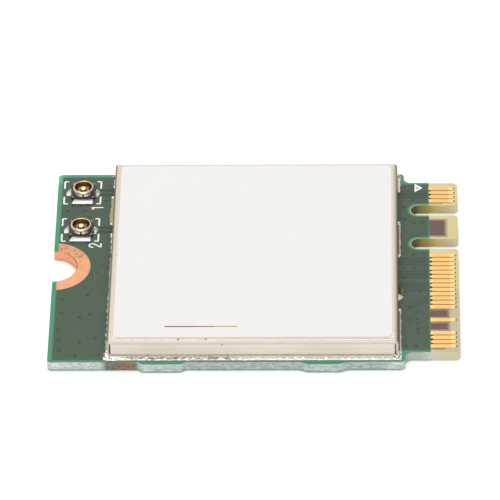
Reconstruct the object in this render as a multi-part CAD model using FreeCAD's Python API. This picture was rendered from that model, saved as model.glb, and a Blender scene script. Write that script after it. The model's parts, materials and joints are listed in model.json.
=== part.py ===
import FreeCAD, Part
import math
import os

from FreeCAD import Vector

# Wireless network card that plugs into a laptop: a small circuit board with gold edge contacts,
# a shield can soldered over the radio parts and two push-fit antenna jacks.
# Sizes are in millimetres. The origin is under the middle of the card, +X points to the edge
# contacts, +Y to the side of contact number 1, and +Z is the side that carries the shield can.

# Circuit board
board_length = 30.0
board_thickness = 0.8
board_corner_radius = 0.3
mask_thickness = 0.03

# Edge contacts: odd numbers on top, even numbers below, half a pitch apart
contact_pitch = 0.5
contact_width = 0.4
contact_length = 1.8
contact_end_margin = 0.345
contact_taper_length = 0.25
contact_tip_width = 0.16
first_contact = 1
last_contact = 75
top_contacts = (1, 3, 5, 7, *range(33, 59, 2), 63, *range(69, 77, 2))
bottom_contacts = (2, 4, 6, *range(16, 24, 2), *range(32, 76, 2))
ground_contacts = (1, 2, 7, 16, 18, 33, 39, 45, 51, 57, 63, 69, 72, 74, 75)

# Plug-in tongue with its two key slots, each placed between two contact numbers
tongue_length = 4.0
tongue_side_margin = 0.475
tongue_corner_radius = 0.4
shoulder_depth = 1.075
shoulder_radius = 0.5
key_slot_width = 1.2
key_slot_depth = 3.5
key_slot_mouth_radius = 0.3
key_contact_numbers = (27.5, 11.5)

# Stubs on both long edges, left where the card was broken out of its panel
tab_stub_reach = 0.25
tab_stub_root = 0.5
left_stub_distance = 8.3
left_stub_length = 3.6
left_stub_slope = 0.5
right_stub_distance = 20.07
right_stub_length = 4.0
right_stub_slope = 1.05

# Half-round notch for the hold-down screw, with its copper land
notch_radius = 1.75
notch_land_radius = 2.75
copper_setback = 0.33

# Tooling hole beside the tongue
tooling_hole_radius = 1.0
tooling_hole_setback = 0.97
tooling_hole_offset = -3.15

# Shield can, folded from one sheet
can_height = 1.33
can_sheet = 0.15
can_bend_radius = 0.05
can_slit_width = 0.13
can_slit_drop = 0.29
can_foot_gap = 0.02
can_left_margin = 4.325
can_right_margin = 0.495
can_near_margin = 0.75
can_far_margin = 0.34

# Solder along the foot of the can
bead_climb = 0.07
bead_edge_height = 0.015
bead_inner_reach = 0.2
bead_near_reach = 0.62
bead_far_reach = 0.2
bead_side_reach = 0.17
bead_corner_overrun = 0.25
bead_sag = 0.7
bead_break = 0.3
antenna_trace_gap = 1.2
right_gap_middles = (6.95, -2.05)
right_gap_lengths = (3.75, 6.2)

# Label on the can
label_thickness = 0.06
label_corner_radius = 0.5
label_side_margin = 0.45
label_near_margin = 0.4
label_far_margin = 0.36

# Antenna jacks
jack_edge_distance = 1.92
jack_far_margin = 2.19
jack_pitch = 4.48
jack_height = 0.6
jack_ring_radius = 0.775
jack_ring_wall = 0.16
jack_skirt_taper = 0.05
jack_rim_chamfer = 0.05
jack_groove_depth = 0.06
jack_groove_height = 0.14
jack_groove_drop = 0.13
jack_plate_size = 1.8
jack_plate_height = 0.2
jack_plate_chamfer = 0.2
jack_foot_reach = 1.3
jack_foot_thickness = 0.08
jack_ground_foot_width = 1.45
jack_side_foot_width = 0.5
jack_signal_foot_width = 0.36
jack_signal_gap = 0.2
jack_pin_radius = 0.19
jack_pin_drop = 0.12
jack_pin_taper = 0.1
jack_solder_film = 0.02
jack_solder_margin = 0.08
jack_solder_cover = 0.03
jack_solder_chamfer = 0.05

# Radio chip and front-end modules: flat packages with leads under their edges
radio_chip_size = 9.0
radio_chip_height = 0.85
radio_chip_offset_x = 1.1
radio_chip_offset_y = 0.6
radio_lead_pitch = 0.45
radio_heat_pad_size = 6.4
front_end_size = 2.5
front_end_height = 0.7
front_end_setback = 3.0
front_end_lead_pitch = 0.5
front_end_heat_pad_size = 1.3
lead_width = 0.22
lead_length = 0.4
lead_toe = 0.05
lead_thickness = 0.05
lead_corner_margin = 0.4
first_lead_chamfer = 0.3

# Crystal: ceramic base with a metal lid
crystal_length = 2.5
crystal_width = 2.0
crystal_base_height = 0.35
crystal_lid_height = 0.2
crystal_lid_inset = 0.15
crystal_corner_radius = 0.2
crystal_offset_x = -6.6
crystal_offset_y = -4.4

# Parts with metal end caps
capacitor_length = 1.0
capacitor_width = 0.5
capacitor_height = 0.5
capacitor_cap_length = 0.25
resistor_length = 1.0
resistor_width = 0.5
resistor_height = 0.35
resistor_cap_length = 0.2
filter_length = 1.6
filter_width = 0.8
filter_height = 0.6
filter_cap_length = 0.3
inductor_length = 2.5
inductor_width = 2.0
inductor_height = 1.0
inductor_cap_length = 0.5
cap_wall = 0.03
small_part_step = 1.25
row_distance = 1.0
capacitors_per_row = 6
resistors_per_row = 5
inductor_offset_x = 3.4
inductor_offset_y = -7.4
filter_setback = 0.5

# Lines and levels that the pieces share
cut_margin = 1.0
same_point = 1e-6
contact_step = contact_pitch / 2
middle_contact = (first_contact + last_contact) / 2
contact_span = (last_contact - first_contact) * contact_step
tongue_width = contact_span + contact_width + 2 * tongue_side_margin
board_width = tongue_width + 2 * shoulder_depth
board_left = -board_length / 2
board_right = board_length / 2
board_near = -board_width / 2
board_far = board_width / 2
shoulder = board_right - tongue_length
contact_end = board_right - contact_end_margin
mask_end = contact_end - contact_length
laminate_low = mask_thickness
laminate_high = board_thickness - mask_thickness
land_cut = board_left + copper_setback

can_left = board_left + can_left_margin
can_right = shoulder - can_right_margin
can_near = board_near + can_near_margin
can_far = board_far - can_far_margin
can_foot = board_thickness + can_foot_gap
can_top = board_thickness + can_height
can_outer_bend = can_bend_radius + can_sheet
can_middle_x = (can_left + can_right) / 2
can_middle_y = (can_near + can_far) / 2

jack_x = board_left + jack_edge_distance
jack_rows = (board_far - jack_far_margin, board_far - jack_far_margin - jack_pitch)
jack_places = [(jack_x, y) for y in jack_rows]
jack_seat = board_thickness + jack_solder_film
jack_plate_top = jack_seat + jack_plate_height
jack_foot_top = jack_seat + jack_foot_thickness
jack_top = board_thickness + jack_height

radio_chip_x = can_middle_x + radio_chip_offset_x
radio_chip_y = can_middle_y + radio_chip_offset_y
package_seat = board_thickness + lead_thickness

# Length, width, height and cap length of each kind of part with metal end caps
capacitor_size = (capacitor_length, capacitor_width, capacitor_height, capacitor_cap_length)
resistor_size = (resistor_length, resistor_width, resistor_height, resistor_cap_length)
filter_size = (filter_length, filter_width, filter_height, filter_cap_length)
inductor_size = (inductor_length, inductor_width, inductor_height, inductor_cap_length)


def block(x_low, x_high, y_low, y_high, z_low, z_high):
    """Plain block between three pairs of limits."""
    corner = Vector(x_low, y_low, z_low)
    return Part.makeBox(x_high - x_low, y_high - y_low, z_high - z_low, corner)


def centred_block(x, y, length, width, z_low, z_high):
    """Plain block centred on a point of the board."""
    return block(x - length / 2, x + length / 2, y - width / 2, y + width / 2, z_low, z_high)


def rod(x, y, radius, z_low, z_high):
    """Upright cylinder."""
    return Part.makeCylinder(radius, z_high - z_low, Vector(x, y, z_low))


def prism(face, z_low, z_high):
    """Flat face drawn at height zero, made solid between two heights."""
    raised = face.copy()
    raised.translate(Vector(0, 0, z_low))
    return raised.extrude(Vector(0, 0, z_high - z_low))


def outline_face(points):
    """Flat face with straight sides through points (x, y)."""
    corners = [Vector(x, y, 0) for x, y in points]
    return Part.Face(Part.makePolygon(corners + corners[:1]))


def rounded_face(corners):
    """Flat face whose corners (x, y, radius) are each rounded by an arc."""
    arcs = []
    for index, (x, y, radius) in enumerate(corners):
        here = Vector(x, y, 0)
        before = Vector(*corners[index - 1][:2], 0)
        after = Vector(*corners[(index + 1) % len(corners)][:2], 0)
        to_before = (before - here).normalize()
        to_after = (after - here).normalize()
        half_angle = to_before.getAngle(to_after) / 2
        tangent_length = radius / math.tan(half_angle)
        inward = (to_before + to_after).normalize()
        arc_start = here + to_before * tangent_length
        arc_middle = here + inward * (radius / math.sin(half_angle) - radius)
        arc_end = here + to_after * tangent_length
        arcs.append((arc_start, arc_middle, arc_end))
    edges = []
    for index, (arc_start, arc_middle, arc_end) in enumerate(arcs):
        next_start = arcs[(index + 1) % len(arcs)][0]
        edges.append(Part.Arc(arc_start, arc_middle, arc_end).toShape())
        if arc_end.distanceToPoint(next_start) > same_point:
            edges.append(Part.LineSegment(arc_end, next_start).toShape())
    return Part.Face(Part.Wire(edges))


def rounded_rectangle(x_low, x_high, y_low, y_high, radius):
    """Flat rectangle with four equal round corners."""
    corners = ((x_low, y_low), (x_high, y_low), (x_high, y_high), (x_low, y_high))
    return rounded_face([(x, y, radius) for x, y in corners])


def upright_edges(solid):
    """Edges of a block that cross its middle height."""
    middle = solid.BoundBox.Center.z
    return [edge for edge in solid.Edges if edge.BoundBox.ZMin < middle < edge.BoundBox.ZMax]


def rounded_lid(limits, radius, round_corners):
    """Block between limits with its top edges rounded, and its upright edges too if asked."""
    plain = block(*limits)
    edges = [edge for edge in plain.Edges if edge.BoundBox.ZMin > plain.BoundBox.Center.z]
    if round_corners:
        edges += upright_edges(plain)
    return plain.makeFillet(radius, edges)


def contact_place(number):
    """Distance of a contact's middle line from the card's middle line."""
    return (middle_contact - number) * contact_step


def tab_stub_face(middle, length, slope, edge, outward):
    """Low flat stub on a long edge, with a smooth slope at both ends."""
    left_foot = Vector(middle - length / 2, edge, 0)
    right_foot = Vector(middle + length / 2, edge, 0)
    root = Vector(0, -outward * tab_stub_root, 0)
    reach = Vector(0, outward * tab_stub_reach, 0)
    half_slope = Vector(slope / 2, 0, 0)
    left_crown = left_foot + half_slope * 2 + reach
    right_crown = right_foot - half_slope * 2 + reach
    rise = Part.BezierCurve()
    rise.setPoles([left_foot, left_foot + half_slope, left_crown - half_slope, left_crown])
    fall = Part.BezierCurve()
    fall.setPoles([right_crown, right_crown + half_slope, right_foot - half_slope, right_foot])
    edges = [
        rise.toShape(),
        Part.LineSegment(left_crown, right_crown).toShape(),
        fall.toShape(),
        Part.LineSegment(right_foot, right_foot + root).toShape(),
        Part.LineSegment(right_foot + root, left_foot + root).toShape(),
        Part.LineSegment(left_foot + root, left_foot).toShape(),
    ]
    return Part.Face(Part.Wire(edges))


def board_outline_face():
    """Card outline: a wide body, two shoulders and the narrower tongue with its key slots."""
    tongue_near = -tongue_width / 2
    tongue_far = tongue_width / 2
    slot_end = board_right - key_slot_depth
    slot_round = key_slot_width / 2
    slots = []
    for number in key_contact_numbers:
        y = contact_place(number)
        slots += [
            (board_right, y - slot_round, key_slot_mouth_radius),
            (slot_end, y - slot_round, slot_round),
            (slot_end, y + slot_round, slot_round),
            (board_right, y + slot_round, key_slot_mouth_radius),
        ]
    return rounded_face([
        (board_left, board_near, board_corner_radius),
        (shoulder, board_near, board_corner_radius),
        (shoulder, tongue_near, shoulder_radius),
        (board_right, tongue_near, tongue_corner_radius),
        *slots,
        (board_right, tongue_far, tongue_corner_radius),
        (shoulder, tongue_far, shoulder_radius),
        (shoulder, board_far, board_corner_radius),
        (board_left, board_far, board_corner_radius),
    ])


def board_blank(z_low, z_high):
    """Layer of the card between two heights, with its stubs, its notch and its tooling hole."""
    blank = prism(board_outline_face(), z_low, z_high)
    stubs = (
        (left_stub_distance, left_stub_length, left_stub_slope),
        (right_stub_distance, right_stub_length, right_stub_slope),
    )
    for distance, length, slope in stubs:
        middle = board_left + distance
        for edge, outward in ((board_near, -1), (board_far, 1)):
            stub = tab_stub_face(middle, length, slope, edge, outward)
            blank = blank.fuse(prism(stub, z_low, z_high))
    cut_low = z_low - cut_margin
    cut_high = z_high + cut_margin
    blank = blank.cut(rod(board_left, 0, notch_radius, cut_low, cut_high))
    hole_x = shoulder - tooling_hole_setback
    blank = blank.cut(rod(hole_x, tooling_hole_offset, tooling_hole_radius, cut_low, cut_high))
    return blank.removeSplitter()


def edge_contact(number, z_low, z_high):
    """Gold contact. A ground contact keeps its width, a signal contact narrows to its trace."""
    y = contact_place(number)
    half = contact_width / 2
    if number in ground_contacts:
        return block(mask_end, contact_end, y - half, y + half, z_low, z_high)
    tip = contact_tip_width / 2
    taper_end = mask_end + contact_taper_length
    outline = outline_face([
        (mask_end, y - tip),
        (taper_end, y - half),
        (contact_end, y - half),
        (contact_end, y + half),
        (taper_end, y + half),
        (mask_end, y + tip),
    ])
    return prism(outline, z_low, z_high)


def mounting_land():
    """Half ring of copper round the notch, on each face of the board."""
    inside_setback = block(
        land_cut, board_left + 2 * notch_land_radius, -board_width, board_width, 0, board_thickness
    )
    opening = rod(board_left, 0, notch_radius, 0, board_thickness)
    rings = []
    for z_low, z_high in ((0, laminate_low), (laminate_high, board_thickness)):
        ring = rod(board_left, 0, notch_land_radius, z_low, z_high).common(inside_setback)
        rings.append(ring.cut(opening))
    return Part.makeCompound(rings)


def shield_can():
    """Sheet folded into a lid, with a slit beside each end of the near and far walls."""
    outer_limits = (can_left, can_right, can_near, can_far, can_foot, can_top)
    inner_limits = (
        can_left + can_sheet,
        can_right - can_sheet,
        can_near + can_sheet,
        can_far - can_sheet,
        can_foot - cut_margin,
        can_top - can_sheet,
    )
    outer = rounded_lid(outer_limits, can_outer_bend, True)
    can = outer.cut(rounded_lid(inner_limits, can_bend_radius, False))
    slit_top = can_top - can_slit_drop
    for slit_left in (can_left + can_sheet, can_right - can_sheet - can_slit_width):
        for wall_low, wall_high in (
            (can_near - cut_margin, can_near + can_outer_bend),
            (can_far - can_outer_bend, can_far + cut_margin),
        ):
            can = can.cut(block(
                slit_left,
                slit_left + can_slit_width,
                wall_low,
                wall_high,
                can_foot - cut_margin,
                slit_top,
            ))
    return can


def solder_bead(wall_point, along, outward, length, reach):
    """Run of solder along a wall of the can, with a hollow fillet on each side of the sheet.

    wall_point is where the run starts on the outer face of the wall.
    """
    climb_height = can_foot + bead_climb
    edge_height = board_thickness + bead_edge_height
    inner_end = -can_sheet - bead_inner_reach

    def place(distance, height):
        flat = wall_point + outward * distance
        return Vector(flat.x, flat.y, height)

    def hollow(wall_side, edge_side):
        distance = edge_side + (wall_side - edge_side) * bead_sag
        height = climb_height + (edge_height - climb_height) * bead_sag
        return Part.Arc(
            place(edge_side, edge_height), place(distance, height), place(wall_side, climb_height)
        ).toShape()

    edges = [
        Part.LineSegment(place(inner_end, laminate_high), place(reach, laminate_high)).toShape(),
        Part.LineSegment(place(reach, laminate_high), place(reach, edge_height)).toShape(),
        hollow(0, reach),
        Part.LineSegment(place(0, climb_height), place(-can_sheet, climb_height)).toShape(),
        hollow(-can_sheet, inner_end),
        Part.LineSegment(place(inner_end, edge_height), place(inner_end, laminate_high)).toShape(),
    ]
    return Part.Face(Part.Wire(edges)).extrude(along * length)


def shield_solder_runs():
    """Solder runs: whole along the near and far walls, broken at the traces on the sides."""
    along_x = Vector(1, 0, 0)
    along_y = Vector(0, 1, 0)
    long_start = can_left - bead_corner_overrun
    long_length = can_right - can_left + 2 * bead_corner_overrun
    runs = [
        solder_bead(Vector(long_start, can_near, 0), along_x, -along_y, long_length, bead_near_reach),
        solder_bead(Vector(long_start, can_far, 0), along_x, along_y, long_length, bead_far_reach),
    ]
    side_low = can_near + can_sheet + bead_inner_reach + bead_break
    side_high = can_far - can_sheet - bead_inner_reach - bead_break
    left_gaps = [(y, antenna_trace_gap) for y in jack_rows]
    right_gaps = zip(right_gap_middles, right_gap_lengths)
    for wall, outward, gaps in ((can_left, -along_x, left_gaps), (can_right, along_x, right_gaps)):
        run_high = side_high
        for middle, length in gaps:
            runs.append(side_bead(wall, outward, middle + length / 2, run_high))
            run_high = middle - length / 2
        runs.append(side_bead(wall, outward, side_low, run_high))
    return runs


def side_bead(wall, outward, y_low, y_high):
    """Solder run on the left or right wall between two distances from the middle line."""
    start = Vector(wall, y_low, 0)
    return solder_bead(start, Vector(0, 1, 0), outward, y_high - y_low, bead_side_reach)


def label():
    """Blank label with round corners on top of the can."""
    face = rounded_rectangle(
        can_left + label_side_margin,
        can_right - label_side_margin,
        can_near + label_near_margin,
        can_far - label_far_margin,
        label_corner_radius,
    )
    return prism(face, can_top, can_top + label_thickness)


def jack_ring_face(x, y):
    """Half section of a jack's ring: a tapered skirt in the plastic, a groove and a blunt rim."""
    bore = jack_ring_radius - jack_ring_wall
    groove_high = jack_top - jack_groove_drop
    groove_low = groove_high - jack_groove_height
    rim_foot = jack_top - jack_rim_chamfer
    section = (
        (bore, jack_seat),
        (jack_ring_radius - jack_skirt_taper, jack_seat),
        (jack_ring_radius, jack_plate_top),
        (jack_ring_radius, groove_low),
        (jack_ring_radius - jack_groove_depth, (groove_low + groove_high) / 2),
        (jack_ring_radius, groove_high),
        (jack_ring_radius, rim_foot),
        (jack_ring_radius - jack_rim_chamfer, jack_top),
        (bore + jack_rim_chamfer, jack_top),
        (bore, rim_foot),
    )
    corners = [Vector(x + radius, y, height) for radius, height in section]
    return Part.Face(Part.makePolygon(corners + corners[:1]))


def jack_shell(x, y):
    """Ring with three flat feet, open at its foot where the signal foot passes."""
    shell = jack_ring_face(x, y).revolve(Vector(x, y, 0), Vector(0, 0, 1), 360)
    foot_start = jack_ring_radius - (jack_ring_wall + jack_skirt_taper) / 2
    half_ground = jack_ground_foot_width / 2
    half_side = jack_side_foot_width / 2
    for x_low, x_high, y_low, y_high in (
        (x - half_ground, x + half_ground, y - jack_foot_reach, y - foot_start),
        (x - half_ground, x + half_ground, y + foot_start, y + jack_foot_reach),
        (x - jack_foot_reach, x - foot_start, y - half_side, y + half_side),
    ):
        shell = shell.fuse(block(x_low, x_high, y_low, y_high, jack_seat, jack_foot_top))
    half_opening = jack_signal_foot_width / 2 + jack_signal_gap
    signal_opening = block(
        x,
        x + jack_foot_reach,
        y - half_opening,
        y + half_opening,
        jack_seat - cut_margin,
        (jack_foot_top + jack_plate_top) / 2,
    )
    return shell.cut(signal_opening).removeSplitter()


def jack_contact(x, y):
    """Centre pin with a tapered tip and a flat signal foot."""
    tip_low = jack_top - jack_pin_drop - jack_pin_taper
    stem = rod(x, y, jack_pin_radius, jack_seat, tip_low)
    tip_radius = jack_pin_radius - jack_pin_taper
    tip = Part.makeCone(jack_pin_radius, tip_radius, jack_pin_taper, Vector(x, y, tip_low))
    half = jack_signal_foot_width / 2
    foot = block(x, x + jack_foot_reach, y - half, y + half, jack_seat, jack_foot_top)
    return stem.fuse(tip).fuse(foot).removeSplitter()


def jack_insulator(x, y, shell, contact):
    """Square plastic base with cut corners, moulded round the shell and the contact."""
    plate = centred_block(x, y, jack_plate_size, jack_plate_size, jack_seat, jack_plate_top)
    plate = plate.makeChamfer(jack_plate_chamfer, upright_edges(plate))
    return plate.cut(shell).cut(contact)


def jack_solder_pads(x, y):
    """Solder under and over the feet of a jack: near, far, left and signal side."""
    covered = jack_foot_top + jack_solder_cover
    edge = jack_plate_size / 2
    end = jack_foot_reach + jack_solder_margin
    half_ground = jack_ground_foot_width / 2 + jack_solder_margin
    half_side = jack_side_foot_width / 2 + jack_solder_margin
    half_signal = jack_signal_foot_width / 2 + 2 * jack_solder_margin
    pads = []
    for x_low, x_high, y_low, y_high, z_high in (
        (x - half_ground, x + half_ground, y - end, y - edge, covered),
        (x - half_ground, x + half_ground, y + edge, y + end, covered),
        (x - end, x - edge, y - half_side, y + half_side, covered),
        (x + edge, x + end, y - half_signal, y + half_signal, jack_foot_top),
    ):
        pad = block(x_low, x_high, y_low, y_high, laminate_high, z_high)
        top_edges = [line for line in pad.Edges if line.BoundBox.ZMin > board_thickness]
        pads.append(pad.makeChamfer(jack_solder_chamfer, top_edges))
    return pads


def flat_package(x, y, size, height):
    """Moulded chip body, its corner cut off at the first lead."""
    body = centred_block(x, y, size, size, package_seat, package_seat + height)
    first_lead_edge = min(upright_edges(body), key=lambda edge: edge.CenterOfMass.x - edge.CenterOfMass.y)
    return body.makeChamfer(first_lead_chamfer, [first_lead_edge])


def package_leads(x, y, size, pitch, heat_pad_size):
    """Leads along the four sides under a flat package, and the heat pad in its middle."""
    room = size - 2 * (lead_corner_margin + lead_length)
    count = int(room / pitch) + 1
    outer = size / 2 + lead_toe
    leads = [centred_block(x, y, heat_pad_size, heat_pad_size, board_thickness, package_seat)]
    for index in range(count):
        offset = (index - (count - 1) / 2) * pitch
        for side in (-1, 1):
            middle = side * (outer - lead_length / 2)
            for lead_x, lead_y, length, width in (
                (x + offset, y + middle, lead_width, lead_length),
                (x + middle, y + offset, lead_length, lead_width),
            ):
                leads.append(centred_block(lead_x, lead_y, length, width, board_thickness, package_seat))
    return leads


def capped_part(x, y, size, turned):
    """Small part lying on the board: a body, and a metal cap over each end.

    A turned part lies along Y, any other along X. The first solid is the body.
    """
    length, width, height, cap_length = size
    body_low = board_thickness + cap_wall
    body_high = board_thickness + height - cap_wall
    inner_length = length - 2 * cap_wall
    inner_width = width - 2 * cap_wall
    body = centred_block(x, y, inner_length, inner_width, body_low, body_high)
    solids = [body]
    for side in (-1, 1):
        cap_x = x + side * (length - cap_length) / 2
        cap = centred_block(cap_x, y, cap_length, width, board_thickness, board_thickness + height)
        solids.append(cap.cut(body))
    if turned:
        for solid in solids:
            solid.rotate(Vector(x, y, 0), Vector(0, 0, 1), 90)
    return solids


def row_places(count):
    """Even steps of small parts to both sides of the middle of their row."""
    return [(index - (count - 1) / 2) * small_part_step for index in range(count)]


def split_parts(parts):
    """Bodies and end caps of capped parts, as two groups."""
    bodies = [solids[0] for solids in parts]
    caps = [cap for solids in parts for cap in solids[1:]]
    return Part.makeCompound(bodies), Part.makeCompound(caps)


def capacitors():
    """Two rows beside the radio chip, on its near side and its far side."""
    reach = radio_chip_size / 2 + row_distance
    return split_parts([
        capped_part(radio_chip_x + step, radio_chip_y + side * reach, capacitor_size, True)
        for side in (-1, 1)
        for step in row_places(capacitors_per_row)
    ])


def resistors():
    """One row beside the radio chip, on the side of the edge contacts."""
    x = radio_chip_x + radio_chip_size / 2 + row_distance
    return split_parts([
        capped_part(x, radio_chip_y + step, resistor_size, False)
        for step in row_places(resistors_per_row)
    ])


def antenna_filters():
    """One filter where each antenna trace comes in under the can."""
    x = can_left + can_sheet + filter_setback + filter_length / 2
    return split_parts([capped_part(x, y, filter_size, False) for y in jack_rows])


def front_end_places():
    """Middles of the front-end modules, each in line with its antenna trace."""
    x = can_left + can_sheet + front_end_setback + front_end_size / 2
    return [(x, y) for y in jack_rows]


def crystal():
    """Ceramic base and the round-cornered metal lid on it."""
    x = can_middle_x + crystal_offset_x
    y = can_middle_y + crystal_offset_y
    base_high = board_thickness + crystal_base_height
    base = centred_block(x, y, crystal_length, crystal_width, board_thickness, base_high)
    half_length = crystal_length / 2 - crystal_lid_inset
    half_width = crystal_width / 2 - crystal_lid_inset
    lid_face = rounded_rectangle(
        x - half_length, x + half_length, y - half_width, y + half_width, crystal_corner_radius
    )
    return base, prism(lid_face, base_high, base_high + crystal_lid_height)


def build_pieces():
    """Every piece of the card by its node's name."""
    can = shield_can()
    bead_runs = shield_solder_runs()
    land = mounting_land()
    shells = [jack_shell(x, y) for x, y in jack_places]
    contacts = [jack_contact(x, y) for x, y in jack_places]
    insulators = [
        jack_insulator(x, y, shell, contact)
        for (x, y), shell, contact in zip(jack_places, shells, contacts)
    ]
    jack_pads = [jack_solder_pads(x, y) for x, y in jack_places]

    before_contacts = block(
        board_left - cut_margin, mask_end, -board_width, board_width, 0, board_thickness
    )
    mask_top = board_blank(laminate_high, board_thickness).common(before_contacts)
    mask_top = mask_top.cut(land)
    for solder in bead_runs + jack_pads[0] + jack_pads[1]:
        mask_top = mask_top.cut(solder)
    mask_bottom = board_blank(0, laminate_low).common(before_contacts).cut(land)

    pieces = {
        "circuit_board": board_blank(laminate_low, laminate_high),
        "solder_mask_top": mask_top,
        "solder_mask_bottom": mask_bottom,
        "edge_contacts_top": Part.makeCompound(
            [edge_contact(number, laminate_high, board_thickness) for number in top_contacts]
        ),
        "edge_contacts_bottom": Part.makeCompound(
            [edge_contact(number, 0, laminate_low) for number in bottom_contacts]
        ),
        "mounting_land": land,
        "shield_can": can,
        "shield_solder": Part.makeCompound([run.cut(can) for run in bead_runs]),
        "label": label(),
    }

    jack_joints = []
    for index, (shell, contact, insulator, pads) in enumerate(
        zip(shells, contacts, insulators, jack_pads), start=1
    ):
        pieces[f"antenna_jack_{index}_shell"] = shell
        pieces[f"antenna_jack_{index}_contact"] = contact
        pieces[f"antenna_jack_{index}_insulator"] = insulator
        jack_joints += [pad.cut(shell).cut(contact) for pad in pads]
    pieces["antenna_jack_solder"] = Part.makeCompound(jack_joints)

    pieces["radio_chip"] = flat_package(
        radio_chip_x, radio_chip_y, radio_chip_size, radio_chip_height
    )
    pieces["radio_chip_leads"] = Part.makeCompound(package_leads(
        radio_chip_x, radio_chip_y, radio_chip_size, radio_lead_pitch, radio_heat_pad_size
    ))
    front_end_leads = []
    for index, (x, y) in enumerate(front_end_places(), start=1):
        pieces[f"front_end_module_{index}"] = flat_package(x, y, front_end_size, front_end_height)
        front_end_leads += package_leads(
            x, y, front_end_size, front_end_lead_pitch, front_end_heat_pad_size
        )
    pieces["front_end_leads"] = Part.makeCompound(front_end_leads)
    pieces["crystal_base"], pieces["crystal_lid"] = crystal()
    pieces["capacitors"], pieces["capacitor_terminals"] = capacitors()
    pieces["resistors"], pieces["resistor_terminals"] = resistors()
    pieces["antenna_filters"], pieces["antenna_filter_terminals"] = antenna_filters()
    inductor = capped_part(
        can_middle_x + inductor_offset_x, can_middle_y + inductor_offset_y, inductor_size, False
    )
    pieces["power_inductor"], pieces["power_inductor_terminals"] = split_parts([inductor])
    return pieces


os.makedirs("parts", exist_ok=True)
for node, shape in build_pieces().items():
    shape.exportStep(f"parts/{node}.step")
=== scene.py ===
"""Dressed model of a small plug-in wireless card that lies flat with its shield can up.

Sizes are in millimetres in the card's own frame until a mesh is made: +X runs to the gold
contacts, +Y to the far long edge and +Z out of the side with the can.
"""
from __future__ import annotations

import json
import logging
from collections.abc import Callable, Sequence
from dataclasses import dataclass, field
from enum import Enum

import bpy
import numpy as np
from mathutils import Matrix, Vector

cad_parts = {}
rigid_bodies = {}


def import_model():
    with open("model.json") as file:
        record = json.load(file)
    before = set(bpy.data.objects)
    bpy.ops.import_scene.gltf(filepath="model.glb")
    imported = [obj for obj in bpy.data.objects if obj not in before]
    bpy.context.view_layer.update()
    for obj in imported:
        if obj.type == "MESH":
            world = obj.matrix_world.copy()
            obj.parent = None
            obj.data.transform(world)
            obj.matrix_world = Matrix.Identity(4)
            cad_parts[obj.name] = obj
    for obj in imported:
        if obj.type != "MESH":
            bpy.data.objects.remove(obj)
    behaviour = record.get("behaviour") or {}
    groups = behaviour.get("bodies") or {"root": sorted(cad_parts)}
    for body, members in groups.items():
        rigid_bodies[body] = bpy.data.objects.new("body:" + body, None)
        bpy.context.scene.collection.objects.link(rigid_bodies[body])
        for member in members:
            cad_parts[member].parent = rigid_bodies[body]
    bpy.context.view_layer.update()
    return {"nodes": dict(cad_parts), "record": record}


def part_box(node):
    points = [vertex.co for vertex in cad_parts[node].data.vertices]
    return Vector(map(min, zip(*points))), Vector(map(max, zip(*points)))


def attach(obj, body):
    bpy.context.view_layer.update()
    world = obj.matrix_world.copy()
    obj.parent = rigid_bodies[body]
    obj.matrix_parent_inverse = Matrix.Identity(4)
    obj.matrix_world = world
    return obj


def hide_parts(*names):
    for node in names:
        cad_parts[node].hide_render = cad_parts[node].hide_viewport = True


LOG = logging.getLogger("wireless_card")
MILLIMETRE = 0.001
BODY = "root"
FULL_TURN = 2.0 * np.pi
# Degrees from which an edge of solder is shaded sharp.
SOLDER_ANGLE = 60.0
Array = np.ndarray
Point = tuple[float, float]
Place = tuple[float, float, float]
Tree = bpy.types.NodeTree
Socket = bpy.types.NodeSocket
# Settings that many nodes have in common.
ABSOLUTE = {"operation": "ABSOLUTE"}
MAXIMUM = {"operation": "MAXIMUM"}
MULTIPLY = {"operation": "MULTIPLY"}
SUBTRACT = {"operation": "SUBTRACT"}
SMOOTH = {"interpolation_type": "SMOOTHSTEP"}
COLOURS = {"data_type": "RGBA"}


def linear(hex_colour: str) -> tuple[float, float, float, float]:
    """Turn an sRGB colour into linear light.

    Args:
        hex_colour: Six hex digits after a hash sign.

    Returns:
        Red, green and blue in linear light, and full alpha.
    """
    channels = np.array([int(hex_colour[start:start + 2], 16) for start in (1, 3, 5)]) / 255.0
    straight = channels / 12.92
    curved = ((channels + 0.055) / 1.055) ** 2.4
    return (*np.where(channels <= 0.04045, straight, curved).tolist(), 1.0)


def add_node(
    tree: Tree, kind: str, settings: dict | None = None, inputs: dict | None = None
) -> bpy.types.Node:
    """Add a node with its settings and links.

    Args:
        tree: Node tree that takes the node.
        kind: Blender's name of the node.
        settings: Values of the node's own properties.
        inputs: Value or linked socket for each input, by the input's name or number.

    Returns:
        The new node.
    """
    node = tree.nodes.new(kind)
    for name, value in (settings or {}).items():
        setattr(node, name, value)
    for name, value in (inputs or {}).items():
        if isinstance(value, Socket):
            tree.links.new(value, node.inputs[name])
        else:
            node.inputs[name].default_value = value
    return node


def noise_inputs(place: Socket, size: float) -> dict[str, object]:
    """Give the inputs of a noise whose features are about as wide as a size in millimetres."""
    return {"Vector": place, "Scale": 1.0 / (size * MILLIMETRE), "Detail": 3.0, "Roughness": 0.55}


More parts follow.
